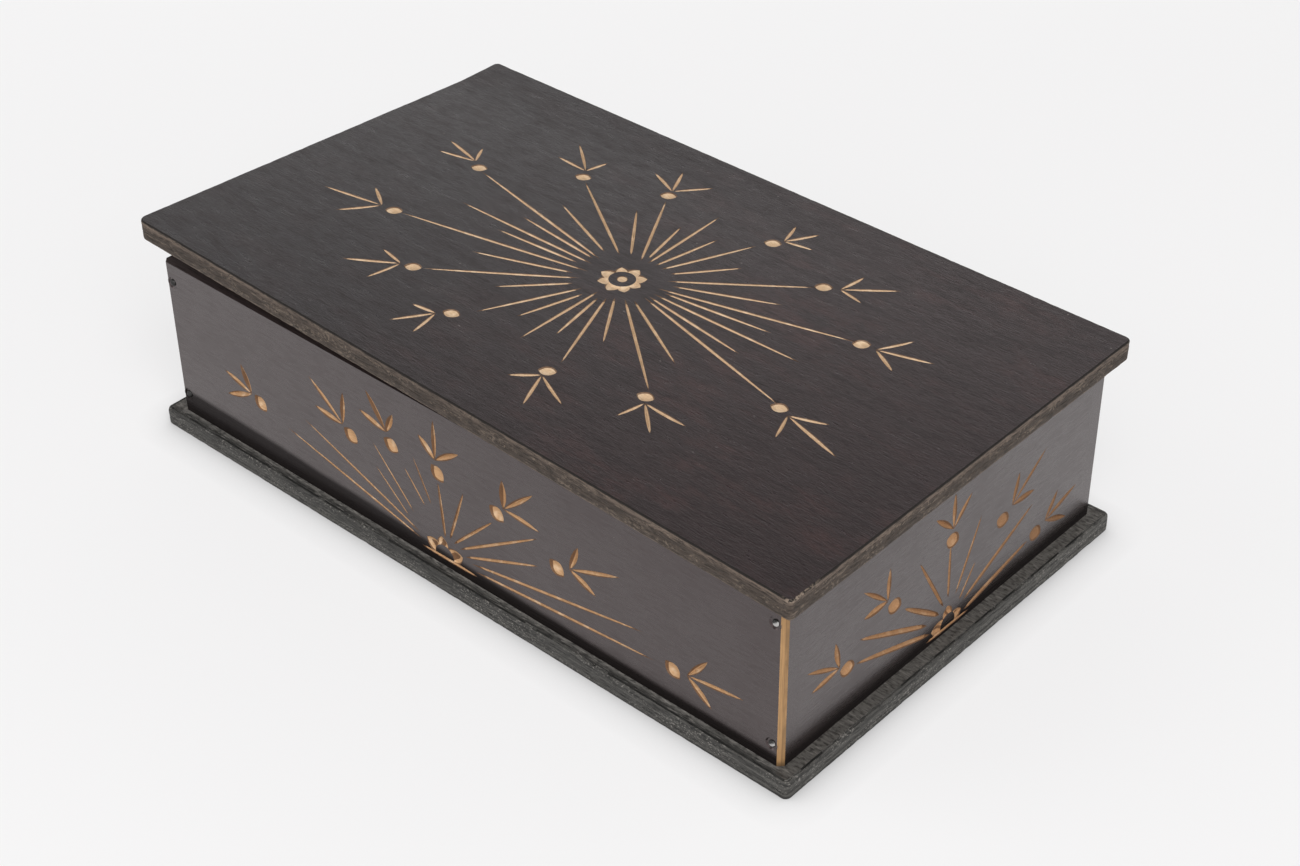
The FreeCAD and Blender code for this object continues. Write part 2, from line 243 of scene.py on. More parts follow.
# A wall's leaf has its set width at this length in millimetres. Longer ones are narrower and shorter ones
# wider, between these shares of it
LEAF_LENGTH = 14.0
LEAF_SHARES = (0.5, 1.25)
# The round hollow in the lid's hub and the straight cut under a wall's rosette, in millimetres
HUB_HOLLOW_WIDTH = 3.4
HUB_HOLLOW_DEPTH = 0.5
BASELINE_WIDTH = 1.2

FRONT_SUNBURST = Sunburst(
    FRONT_ROSETTE, 3.9, FRONT_PETALS, 0.42, FRONT_BASELINE, FRONT_RAYS, FRONT_SPRIGS, -32, 0.85
)
END_SUNBURST = Sunburst(END_ROSETTE, 3.4, END_PETALS, 0.2, END_BASELINE, END_RAYS, END_SPRIGS, -22, 0.4)


def length_property(name, description, millimetres):
    """A length that a user may set, with its default in millimetres."""
    return FloatProperty(
        name=name, description=description, default=millimetres * MM, min=0.0, precision=5, unit="LENGTH"
    )


def colour_property(name, description, colour):
    """A colour that a user may set, as linear red, green and blue."""
    return FloatVectorProperty(
        name=name, description=description, default=colour, size=3, min=0.0, max=1.0, subtype="COLOR"
    )


def share_property(name, description, share):
    """A share from 0 to 1 that a user may set."""
    return FloatProperty(
        name=name, description=description, default=share, min=0.0, max=1.0, subtype="FACTOR"
    )


def angle_property(name, description, degrees):
    """An angle that a user may set, with its default in degrees."""
    return FloatProperty(name=name, description=description, default=math.radians(degrees), subtype="ANGLE")


def power_property(name, description, watts):
    """The power of a lamp that a user may set."""
    return FloatProperty(name=name, description=description, default=watts, unit="POWER")


class CarvingSettings(bpy.types.PropertyGroup):
    """Sizes of the gouge cuts."""

    lid_ray_width: length_property("Lid ray width", "Width of a ray of the lid at its belly", 1.15)
    front_ray_width: length_property("Front ray width", "Width of a ray of the front wall at its belly", 1.15)
    end_ray_width: length_property("End ray width", "Width of a ray of an end wall at its belly", 2.0)
    lid_leaf_width: length_property("Lid leaf width", "Width of a leaf on the lid", 1.35)
    wall_leaf_width: length_property("Wall leaf width", "Width of a leaf on a wall", 2.15)
    cut_slope: FloatProperty(
        name="Cut slope", description="Depth of a cut as a share of its width", default=0.6, min=0.0
    )
    # Painted shade: how far the burr finish reaches into the shaded slope of a wall's cut
    shade_share: share_property("Torn share", "How far the torn slope of a wall's cut reaches into it", 0.45)
    lid_bud_length: length_property("Lid bud length", "Length of the hollow of a bud on the lid", 5.6)
    lid_bud_width: length_property("Lid bud width", "Width of the hollow of a bud on the lid", 4.4)
    wall_bud_length: length_property("Wall bud length", "Length of the hollow of a bud on a wall", 6.6)
    wall_bud_width: length_property("Wall bud width", "Width of the hollow of a bud on a wall", 5.3)
    bud_depth: length_property("Bud depth", "Depth of the hollow of a bud", 1.1)


class FinishSettings(bpy.types.PropertyGroup):
    """Colours and gloss of the woods and metals."""

    lid_stain: colour_property("Lid stain", "Dark stain of the lid's face", (0.0155, 0.0086, 0.0088))
    lid_cold: colour_property("Cold lid stain", "Stain of the lid's left end", (0.0101, 0.0106, 0.0113))
    lid_red: colour_property("Lid red", "Redder wood under the lid's stain", (0.038, 0.0145, 0.013))
    wall_stain: colour_property("Wall stain", "Dark stain of the walls", (0.006, 0.0042, 0.004))
    base_stain: colour_property("Base stain", "Worn stain of the base board", (0.066, 0.063, 0.058))
    edge_wood: colour_property("Edge wood", "Stained edge of the lid board", (0.075, 0.056, 0.044))
    edge_bare: colour_property("Bare edge", "Spots of the lid's edge rubbed bare", (0.18, 0.14, 0.108))
    base_bare: colour_property("Bare base", "Fibres of the base board rubbed bare", (0.22, 0.207, 0.19))
    lid_cut: colour_property("Lid cuts", "Bare wood in the lid's carving", (0.65, 0.455, 0.285))
    lid_burr: colour_property("Lid burrs", "Torn, stained rim of the lid's cuts", (0.17, 0.1, 0.06))
    wall_cut: colour_property("Wall cuts", "Bare wood in the front wall's carving", (0.5, 0.295, 0.15))
    end_cut: colour_property("End cuts", "Bare wood in the end walls' carving", (0.37, 0.2, 0.095))
    # The walls' burr colour is both the stained rim of their cuts and painted shade on the cuts' shaded
    # slopes and petal middles
    wall_burr_and_shade: colour_property("Wall burrs", "Torn, stained rim of the walls' cuts", (0.155, 0.078, 0.037))
    pale_chip: colour_property("Pale chips", "Palest chips of the bare wood in a cut", (0.78, 0.62, 0.44))
    strip_wood: colour_property("Corner strip", "Bare wood along the chamfered corners", (0.35, 0.2, 0.086))
    inside_wood: colour_property("Inside", "Bare wood inside the box", (0.45, 0.3, 0.17))
    steel: colour_property("Nail steel", "Bright steel of the nails", (0.5, 0.49, 0.48))
    brass: colour_property("Hinge brass", "Dull brass of the hinges", (0.62, 0.42, 0.17))
    lid_gloss: share_property("Lid roughness", "Roughness of the lid's lacquer", 0.36)
    wall_gloss: share_property("Wall roughness", "Roughness of the walls' lacquer", 0.22)


class StageSettings(bpy.types.PropertyGroup):
    """Camera, floor and light."""

    camera_place: FloatVectorProperty(
        name="Camera place", description="Where the camera stands", subtype="TRANSLATION", unit="LENGTH",
        size=3, default=(0.40712, -0.43556, 0.45649),
    )
    camera_azimuth: angle_property("Camera azimuth", "Turn of the camera round the box", 42.245)
    camera_elevation: angle_property("Camera elevation", "Angle of the camera over the horizon", 36.484)
    camera_roll: angle_property("Camera roll", "Tilt of the camera about its view", -0.522)
    focal_pixels: FloatProperty(
        name="Focal length", description="Focal length in pixels of the photograph", default=2375.0, min=1.0
    )
    floor_colour: colour_property("Floor", "Colour of the floor", (0.88, 0.875, 0.877))
    floor_white: share_property("Floor white", "How far the floor is lifted to plain white", 0.65)
    sky_high: share_property("Sky overhead", "Strength of the sky overhead", 0.15)
    sky_low: share_property("Sky at the horizon", "Strength of the sky at the horizon", 1.1)
    key_power: power_property("Key light", "Power of the key light", 48.0)
    fill_power: power_property("Fill light", "Power of the fill light", 5.0)


class Flow:
    """A node's output inside an expression: arithmetic on it adds Math nodes to its material."""

    def __init__(self, finish, socket):
        self.finish = finish
        self.socket = socket

    def other(self, output):
        """Another output of the same node."""
        return Flow(self.finish, self.socket.node.outputs[output])

    def __add__(self, value):
        return self.finish.math("ADD", self, value)

    __radd__ = __add__

    def __sub__(self, value):
        return self.finish.math("SUBTRACT", self, value)

    def __rsub__(self, value):
        return self.finish.math("SUBTRACT", value, self)

    def __mul__(self, value):
        return self.finish.math("MULTIPLY", self, value)

    __rmul__ = __mul__

    def __truediv__(self, value):
        return self.finish.math("DIVIDE", self, value)

    def __abs__(self):
        return self.finish.math("ABSOLUTE", self)


class Tree:
    """A node tree being wired."""

    def __init__(self, nodes):
        self.tree = nodes

    def add(self, kind, settings=None, sockets=None, output=0):
        """One more node: its settings first, then the values or links of its sockets. Gives one output."""
        node = self.tree.nodes.new(kind)
        for name, value in (settings or {}).items():
            setattr(node, name, value)
        for key, value in (sockets or {}).items():
            self.feed(node.inputs[key], value)
        return Flow(self, node.outputs[output])

    def feed(self, socket, value):
        """Link a flow to a socket, or set the socket to a plain value."""
        if isinstance(value, Flow):
            self.tree.links.new(value.socket, socket)
        elif socket.type == "RGBA":
            socket.default_value = (*value, 1.0)
        else:
            socket.default_value = value

    def math(self, operation, *values):
        """A Math node on flows and numbers."""
        return self.add("ShaderNodeMath", {"operation": operation}, dict(enumerate(values)))

    def clamp(self, value):
        """A value held between 0 and 1."""
        return self.add("ShaderNodeClamp", {}, {0: value})

    def rise(self, value, low, high):
        """A smooth step from 0 at low to 1 at high."""
        settings = {"interpolation_type": "SMOOTHSTEP"}
        return self.add("ShaderNodeMapRange", settings, {0: value, 1: low, 2: high})

    def blend(self, share, first, second):
        """A mix of two colours."""
        return self.add("ShaderNodeMix", {"data_type": "RGBA"}, {0: share, 6: first, 7: second}, 2)

    def scaled(self, vector, scale):
        """A vector multiplied part by part."""
        return self.add("ShaderNodeVectorMath", {"operation": "MULTIPLY"}, {0: vector, 1: scale})

    def split(self, vector):
        """The three parts of a vector."""
        x = self.add("ShaderNodeSeparateXYZ", {}, {0: vector})
        return x, x.other(1), x.other(2)

    def joined(self, x, y, z):
        """A vector of three parts."""
        return self.add("ShaderNodeCombineXYZ", {}, {0: x, 1: y, 2: z})


class Finish(Tree):
    """A material being mixed: what its expressions give feeds its shader."""

    def __init__(self, name, **constants):
        self.material = bpy.data.materials.new(name)
        self.material.use_nodes = True
        super().__init__(self.material.node_tree)
        self.shader = self.tree.nodes["Principled BSDF"]
        for socket, value in constants.items():
            self.feed(self.shader.inputs[socket.replace("_", " ").title().replace("Ior", "IOR")], value)
        self.place = self.add("ShaderNodeTexCoord", {}, {}, "Object")

    def noise(self, size, detail=2.0, roughness=0.5, place=None):
        """Cloudy noise whose blobs are about a size, in millimetres along each axis."""
        scale = tuple(1 / (part * MM) for part in size)
        vector = self.scaled(self.place if place is None else place, scale)
        sockets = {"Vector": vector, "Scale": 1.0, "Detail": detail, "Roughness": roughness}
        return self.add("ShaderNodeTexNoise", {}, sockets)

    def specks(self, spacing, size, share):
        """Small round specks: about one in each cell of a spacing, for a share of the cells."""
        sockets = {"Vector": self.place, "Scale": 1 / (spacing * MM)}
        cell = self.add("ShaderNodeTexVoronoi", {}, sockets, "Distance")
        chosen = self.add("ShaderNodeSeparateColor", {}, {0: cell.other("Color")})
        kept = self.math("LESS_THAN", chosen, share)
        reach = size / spacing
        return (1 - self.rise(cell, reach * 0.5, reach)) * kept

    def bump(self, height, distance):
        """A bump on the shader's normal, from a height between 0 and 1 and its depth in millimetres."""
        sockets = {"Height": height, "Distance": distance * MM, "Strength": 1.0}
        self.feed(self.shader.inputs["Normal"], self.add("ShaderNodeBump", {}, sockets))

    def dulled(self, share, colour):
        """Mix the shader with a dull one of a colour, by a share that may change over the surface."""
        sockets = {"Base Color": colour, "Roughness": 0.75, "Specular IOR Level": 0.1}
        dull = self.add("ShaderNodeBsdfPrincipled", {}, sockets)
        self.covered(share, dull)

    def covered(self, share, cover):
        """Mix the shader with another one by a share, as the material's surface."""
        sockets = {0: share, 1: Flow(self, self.shader.outputs[0]), 2: cover}
        mixed = self.add("ShaderNodeMixShader", {}, sockets)
        self.feed(self.tree.nodes["Material Output"].inputs["Surface"], mixed)

    def colour(self, value):
        """Feed the shader's colour."""
        self.feed(self.shader.inputs["Base Color"], value)

    def roughness(self, value):
        """Feed the shader's roughness."""
        self.feed(self.shader.inputs["Roughness"], value)


def darker(colour, share):
    """A colour brought down to a share of its light."""
    return tuple(part * share for part in colour)


def along_x(length, width):
    """The size of a fibre that runs along the box."""
    return length, width, width


def along_y(length, width):
    """The size of a fibre that runs across the box."""
    return width, length, width


def lid_level(finish):
    """The place in the lid board with its twist taken out."""
    x, y, z = finish.split(finish.place)
    low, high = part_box("lid_panel")
    fold = high.y - LID_FLAT_STRIP * MM
    across = finish.clamp((fold - y) / (fold - low.y))
    lift = (high.x - x) * across * (LID_CORNER_LIFT * MM / (high.x - low.x))
    return finish.joined(x, y, z - lift)


def lid_stain_finish(settings):
    """Dark stain on the lid's face: short grain along it, redder patches to the right, dust and scuffs."""
    finish = Finish("lid_stain", specular_ior_level=0.5, specular_tint=(1.0, 0.82, 0.83))
    x, _, _ = finish.split(finish.place)
    broad = finish.noise(along_x(60, 9), 3)
    streaks = finish.noise(along_x(15, 1.6), 3, 0.65)
    pores = finish.noise(along_x(2.6, 0.5), 4, 0.7)
    mottle = finish.noise((7, 3.5, 5), 4, 0.6)
    patches = finish.noise(along_x(26, 11), 4, 0.6)
    scuffs = finish.noise((3.0, 1.4, 3), 4, 0.7)
    near = finish.noise((40, 40, 40), 2)
    warm = finish.rise(x, -90 * MM, 80 * MM)
    stain = finish.blend(warm, settings.lid_cold, settings.lid_stain)
    stain = finish.blend(finish.rise(broad, 0.35, 0.7) * 0.25, stain, darker(settings.lid_stain, 0.2))
    stain = finish.blend(finish.rise(patches, 0.48, 0.68) * (warm * 0.5 + 0.1), stain, settings.lid_red)
    stain = finish.blend(finish.rise(streaks, 0.5, 0.64) * 0.6, stain, darker(settings.lid_stain, 0.3))
    stain = finish.blend(finish.rise(pores, 0.5, 0.64) * 0.7, stain, darker(settings.lid_stain, 0.25))
    stain = finish.blend(finish.rise(mottle, 0.5, 0.68) * 0.5, stain, darker(settings.lid_stain, 0.45))
    dust = finish.specks(9, 0.4, 0.35) + finish.specks(4, 0.22, 0.3)
    dust = finish.clamp(dust + finish.rise(scuffs, 0.66, 0.74) * finish.rise(near, 0.5, 0.62))
    finish.colour(finish.blend(dust * 0.5, stain, (0.24, 0.22, 0.21)))
    uneven = pores + mottle + streaks - 1.5
    finish.roughness(settings.lid_gloss + uneven * 0.3 + dust * 0.3)
    finish.bump(pores * 1.5 + mottle, 0.08)
    return finish.material


def wall_stain_finish(settings, name, fibre, foot_shade, spread, wear):
    """Nearly black stain under a clear lacquer, with painted shade as a dull, dark band along the bottom of
    the wall.

    Foot shade is the height of the painted shade band in millimetres, spread what it gains at the left end,
    and wear the share of the lacquer that is rubbed off the grain.
    """
    finish = Finish(
        name, specular_ior_level=0.62, specular_tint=(1.0, 0.7, 0.7), coat_roughness=settings.wall_gloss
    )
    x, _, z = finish.split(finish.place)
    broad = finish.noise(fibre(80, 9), 3)
    grain = finish.noise(fibre(7, 0.7), 4, 0.7)
    pores = finish.noise(fibre(2.5, 0.45), 3, 0.6)
    cloud = finish.noise((25, 25, 25), 3)
    stain = finish.blend(finish.rise(broad, 0.35, 0.7), darker(settings.wall_stain, 0.8), settings.wall_stain)
    stain = finish.blend(finish.rise(pores, 0.52, 0.7) * 0.4, stain, darker(settings.wall_stain, 0.5))
    dust = finish.specks(12, 0.4, 0.3) + finish.specks(5, 0.2, 0.2)
    dust = finish.clamp(dust)
    finish.colour(finish.blend(dust * 0.4, stain, (0.2, 0.19, 0.18)))
    finish.roughness(0.28 + (cloud - 0.5) * 0.1 + (grain - 0.5) * 0.2 + dust * 0.3)
    rubbed_off = finish.rise(pores, 0.5, 0.64) + finish.rise(grain, 0.48, 0.62) - 0.6
    coat = 0.52 - rubbed_off * wear - (cloud - 0.5) * 0.3 - dust * 0.5
    finish.feed(finish.shader.inputs["Coat Weight"], finish.clamp(coat))
    finish.bump(pores + grain * 0.5 + cloud * 1.5, 0.03)
    height = (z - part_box("front_wall")[0].z) / MM
    left = 1 - finish.rise(x, -110 * MM, 90 * MM)
    # Painted shade: a dull band along the bottom, higher towards the left end, stands in for the base ledge's
    # shadow and its dark reflection in the lacquer
    band = 1 - finish.rise(height - left * spread + (cloud - 0.5) * 1.5, foot_shade - 1.0, foot_shade + 1.6)
    finish.dulled(band * 0.85, settings.wall_stain)
    return finish.material


def dull_stain_finish(settings, name, fibre):
    """Stain without lacquer, on the faces that the lid closes over."""
    finish = Finish(name, specular_ior_level=0.15)
    pores = finish.noise(fibre(6, 0.5), 3, 0.6)
    stain = darker(settings.wall_stain, 8.0)
    finish.colour(finish.blend(finish.rise(pores, 0.45, 0.7), stain, darker(stain, 0.4)))
    finish.roughness(0.65 + pores * 0.2)
    finish.bump(pores, 0.05)
    return finish.material


def edge_finish(settings):
    """The lid board's sawn edge: gritty fibres along it, rubbed bare in spots, a dark line under the face."""
    finish = Finish("lid_edge", specular_ior_level=0.3)
    level = lid_level(finish)
    x, y, height = finish.split(level)
    low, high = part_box("lid_panel")
    share = (height - low.z) / (LID_THICKNESS * MM)
    fibres = finish.noise((3.5, 3.5, 0.45), 4, 0.7, place=level)
    layers = finish.noise((140, 140, 1.3), 2, place=level)
    patches = finish.noise((10, 10, 3), 3, place=level)
    blots = finish.noise((6, 6, 1.1), 4, 0.65, place=level)
    grit = finish.noise((0.9, 0.9, 0.6), 2, 0.6, place=level)
    upper = finish.rise(share, 0.66, 0.78)
    lower = 1 - finish.rise(share, 0.02, 0.14)
    band = finish.clamp(upper + lower + (patches - 0.5) * 0.8)
    wood = finish.blend(band, darker(settings.edge_wood, 0.8), darker(settings.edge_wood, 1.8))
    wood = finish.blend(finish.rise(layers, 0.45, 0.65) * 0.4, wood, darker(settings.edge_wood, 0.6))
    wood = finish.blend(finish.rise(fibres, 0.47, 0.62) * 0.85, wood, darker(settings.edge_wood, 0.25))
    wood = finish.blend(finish.rise(blots, 0.52, 0.64) * 0.5, wood, darker(settings.edge_wood, 0.35))
    spots = finish.rise(grit, 0.52, 0.66) * finish.rise(patches, 0.42, 0.62)
    spots = spots + 1 - finish.rise(blots, 0.3, 0.44)
    bare = finish.clamp(spots + lower * finish.rise(grit, 0.4, 0.6) * 0.6)
    wood = finish.blend(bare * 0.7, wood, settings.edge_bare)
    wood = finish.blend(finish.rise(share, 0.915, 0.955), wood, darker(settings.edge_wood, 0.15))
    right = finish.rise(x, high.x - 4 * MM, high.x - 1 * MM)
    knocked = right * (1 - finish.rise(y, low.y + 1 * MM, low.y + 16 * MM))
    chips = knocked * finish.rise(share, 0.86, 0.92) * finish.rise(grit, 0.42, 0.56)
    wood = finish.blend(chips * 0.7, wood, darker(settings.edge_bare, 1.8))
    finish.colour(wood)
    finish.roughness(0.55 + fibres * 0.3)
    finish.bump(fibres + grit * 0.7, 0.35)
    return finish.material


def base_finish(settings):
    """The base board's rubbed stain: rough fibres, a painted highlight as a paler, gritty strip beside the
    long walls, and darker at the ends.
    """
    finish = Finish("base_stain", specular_ior_level=0.3)
    x, y, _ = finish.split(finish.place)
    wall_low, wall_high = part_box("front_wall")
    beside = abs(y) + wall_low.y
    at_end = finish.rise(abs(x), wall_high.x - 0.5 * MM, wall_high.x)
    fibres = finish.noise(along_x(4, 0.6), 4, 0.7)
    hairs = finish.noise(along_x(3, 0.45), 2)
    patches = finish.noise((16, 16, 3), 3)
    grit = finish.noise((2, 1, 1), 3)
    stain = settings.base_stain
    wood = finish.blend(finish.rise(patches, 0.35, 0.7), darker(stain, 0.65), stain)
    wood = finish.blend(finish.rise(fibres, 0.44, 0.6) * 0.9, wood, darker(stain, 0.14))
    # Painted light: a pale, gritty strip within 2 mm of the walls lifts the shade beside them
    painted_light_strip = (1 - finish.rise(beside, 0.2 * MM, 2.0 * MM)) * finish.rise(grit, 0.3, 0.6)
    bare = finish.clamp(finish.rise(hairs, 0.56, 0.68) * 0.6 + painted_light_strip * 0.6)
    wood = finish.blend(bare, wood, settings.base_bare)
    finish.colour(finish.blend(at_end * 0.4, wood, darker(settings.edge_wood, 0.3)))
    finish.roughness(0.5 + fibres * 0.3)
    finish.bump(fibres + hairs * 0.5, 0.35)
    return finish.material


def base_groove_shade_finish(settings):
    """Painted shade: the dark inside of the groove along the base board's top edge."""
    finish = Finish("base_line", specular_ior_level=0.2, roughness=0.7)
    grit = finish.noise((4, 4, 1), 3)
    dark = darker(settings.base_stain, 0.22)
    finish.colour(finish.blend(finish.rise(grit, 0.45, 0.75), dark, darker(settings.base_stain, 0.6)))
    return finish.material


def base_edge_finish(settings):
    """The base board's edge: scuffed grey layers in lines along it, with bare grit, and painted shade along
    its bottom where it meets the floor.
    """
    finish = Finish("base_edge", specular_ior_level=0.3)
    _, _, z = finish.split(finish.place)
    fibres = finish.noise((4, 4, 0.35), 4, 0.7)
    layers = finish.noise((160, 160, 0.9), 2)
    patches = finish.noise((14, 14, 3), 3)
    grit = finish.noise((0.8, 0.8, 0.5), 2, 0.6)
    stain = settings.base_stain
    wood = finish.blend(finish.rise(layers, 0.4, 0.62), darker(stain, 1.25), darker(stain, 0.6))
    wood = finish.blend(finish.rise(fibres, 0.47, 0.62) * 0.85, wood, darker(stain, 0.22))
    bare = finish.rise(grit, 0.54, 0.68) * finish.rise(patches, 0.35, 0.6) * 0.85
    wood = finish.blend(bare, wood, settings.base_bare)
    # Painted shade: the lowest millimetre of the edge darkens as contact shadow
    foot_shade = 1 - finish.rise(z, 0.2 * MM, 0.9 * MM)
    finish.colour(finish.blend(foot_shade * 0.8, wood, darker(stain, 0.2)))
    finish.roughness(0.5 + fibres * 0.3)
    finish.bump(fibres + grit * 0.7, 0.3)
    return finish.material


def cut_finish(settings, name, wood, paleness, stain_left=0.0):
    """Bare wood in a gouge mark: short fibres, paler chips, and stain left in it towards the back."""
    finish = Finish(name, specular_ior_level=0.25)
    _, y, _ = finish.split(finish.place)
    fibres = finish.noise(along_x(3, 0.35), 3, 0.6)
    chips = finish.noise((3.5, 3.5, 3.5), 2)
    tone = finish.blend(finish.rise(fibres, 0.35, 0.7), wood, darker(wood, 0.78))
    tone = finish.blend(finish.rise(chips, 0.5, 0.7) * paleness, tone, settings.pale_chip)
    tone = finish.blend((1 - finish.rise(chips, 0.3, 0.46)) * 0.3, tone, darker(wood, 0.6))
    if stain_left:
        tone = finish.blend(finish.rise(y, -10 * MM, 50 * MM) * stain_left, tone, settings.wall_burr_and_shade)
    finish.colour(tone)
    finish.roughness(0.55 + fibres * 0.25)
    finish.bump(fibres, 0.12)
    return finish.material


def strip_finish(settings):
    """The chamfered corner, planed through the stain: two tones of bare wood with fibres up and down, and
    painted shade along its bottom.
    """
    finish = Finish("corner_strip", specular_ior_level=0.35)
    x, y, z = finish.split(finish.place)
    box_low, box_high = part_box("front_wall")
    across = (abs(x) - abs(y) - (box_high.x + box_low.y)) / MM
    fibres = finish.noise((0.3, 0.3, 12), 3, 0.6)
    patches = finish.noise((3, 3, 7), 3)
    bare = settings.strip_wood
    wood = finish.blend(finish.rise(across, 0.1, 0.5), bare, darker(bare, 0.62))
    wood = finish.blend(finish.rise(patches, 0.4, 0.7) * 0.6, wood, darker(bare, 1.25))
    seam = finish.rise(across, 0.0, 0.2) * (1 - finish.rise(across, 0.3, 0.55))
    wood = finish.blend(seam * 0.5, wood, darker(bare, 0.35))
    wood = finish.blend(finish.rise(fibres, 0.45, 0.7) * 0.6, wood, darker(bare, 0.5))
    # Painted shade: the bottom 2.5 mm darkens where the corner meets the base board
    foot_shade = 1 - finish.rise(z, box_low.z, box_low.z + 2.5 * MM)
    wood = finish.blend(foot_shade * 0.8, wood, darker(bare, 0.2))
    finish.colour(wood)
    finish.roughness(0.45 + fibres * 0.2)
    finish.bump(fibres, 0.1)
    return finish.material


def inside_finish(settings, name, fibre):
    """Bare, sanded wood inside the box."""
    finish = Finish(name, specular_ior_level=0.3)
    broad = finish.noise(fibre(110, 6), 3)
    pores = finish.noise(fibre(6, 0.4), 3, 0.6)
    bare = settings.inside_wood
    wood = finish.blend(finish.rise(broad, 0.3, 0.7), bare, darker(bare, 0.72))
    wood = finish.blend(finish.rise(pores, 0.52, 0.72) * 0.5, wood, darker(bare, 0.5))
    finish.colour(wood)
    finish.roughness(0.6 + pores * 0.2)
    finish.bump(pores, 0.06)
    return finish.material


def metal_finish(name, colour, tarnish, roughness):
    """A worn metal: bright where rubbed, dull and darker in patches."""
    finish = Finish(name, metallic=1.0)
    cloud = finish.noise((1.6, 1.6, 1.6), 3)
    scratches = finish.noise((6, 0.15, 0.15), 2)
    dull = finish.rise(cloud, 0.45, 0.75)
    finish.colour(finish.blend(dull * tarnish, colour, darker(colour, 0.4)))
    finish.roughness(roughness + dull * 0.2 + scratches * 0.1)
    finish.bump(scratches, 0.01)
    return finish.material


def nail_finish(settings):
    """Steel nails: painted shade on the upper left of their heads, which leaves a bright crescent low on the
    right as a painted highlight, and nearly black at the box's left end.
    """
    finish = Finish("nail_steel", metallic=1.0)
    x, _, _ = finish.split(finish.place)
    side, _, up = finish.split(finish.add("ShaderNodeNewGeometry", {}, {}, "Normal"))
    cloud = finish.noise((0.8, 0.8, 0.8), 3)
    # Painted shade: a head darkens where its normal points up and to the left
    painted_shade = finish.rise(up * 0.8 - side * 0.4 + (cloud - 0.5) * 0.5, -0.05, 0.35)
    # Nearly black at the box's left end, and where the painted shade falls
    black = finish.clamp(1 - finish.rise(x, -60 * MM, 20 * MM) + painted_shade)
    finish.colour(finish.blend(black, settings.steel, darker(settings.steel, 0.1)))
    finish.roughness(0.16 + black * 0.3)
    finish.bump(cloud, 0.03)
    return finish.material


class VCut:
    """A pointed stroke of a V gouge: widest and deepest at its belly, with an optional bow to one side."""

    def __init__(self, finishes, start, end, width, depth, belly, fullness, bow=0.0, steps=9, torn=0.0):
        self.finishes = finishes
        self.start = Vector(start)
        self.end = Vector(end)
        run = self.end - self.start
        self.length = run.length
        self.along = run / self.length
        self.across = Vector((-self.along.y, self.along.x))
        # Painted shade: the clean cut is narrowed on the slope that faces away from the light, so the burr
        # finish shades it
        shade_share = CLEAN_SHARE - torn
        shaded_left = self.across.dot(SHADED_SIDE) > 0
        self.clean = (CLEAN_SHARE, shade_share) if shaded_left else (shade_share, CLEAN_SHARE)
        self.half_width = width / 2
        self.deepest = depth
        self.skew = math.log(0.5) / math.log(belly)
        self.fullness = fullness
        self.bow = bow * self.length
        self.shares = [step / steps for step in range(1, steps)]
        self.reach = self.length / 2 + width + abs(self.bow)
        self.middle = self.start + run / 2

    def swell(self, share):
        """How full the stroke is, from 0 at its tips to 1 at its belly."""
        return math.sin(math.pi * share ** self.skew) ** self.fullness

    def point(self, share, side):
        """A point of the stroke: side is -1 or 1 on its rims and 0 on its middle line."""
        off = self.bow * 4 * share * (1 - share) + side * self.half_width * self.swell(share)
        return self.start + self.along * (share * self.length) + self.across * off

    def regions(self):
        """The burr rim and the clean cut inside it, as anticlockwise outlines with their finishes.

        On a wall the clean cut stops short on the shaded slope, which leaves painted shade there in the burr
        finish.
        """
        inner_ends = self.point(TORN_TIP, 0), self.point(1 - TORN_TIP, 0)
        outlines = []
        for sides, (first, last) in (((1.0, 1.0), (self.start, self.end)), (self.clean, inner_ends)):
            right = [self.point(share, -sides[0]) for share in self.shares]
            left = [self.point(share, sides[1]) for share in reversed(self.shares)]
            outlines.append([first, *right, last, *left])
        return list(zip(outlines, self.finishes))

    def lines(self):
        """The bottom of the V."""
        shares = TORN_TIP, *self.shares, 1 - TORN_TIP
        return [[self.start, *(self.point(share, 0) for share in shares), self.end]]

    def depth(self, point):
        """How deep the cut is under a point of the face."""
        offset = point - self.start
        share = offset.dot(self.along) / self.length
        if not 0.001 < share < 0.999:
            return 0.0
        swell = self.swell(share)
        off = offset.dot(self.across) - self.bow * 4 * share * (1 - share)
        return max(0.0, 1 - abs(off) / (self.half_width * swell)) * self.deepest * swell


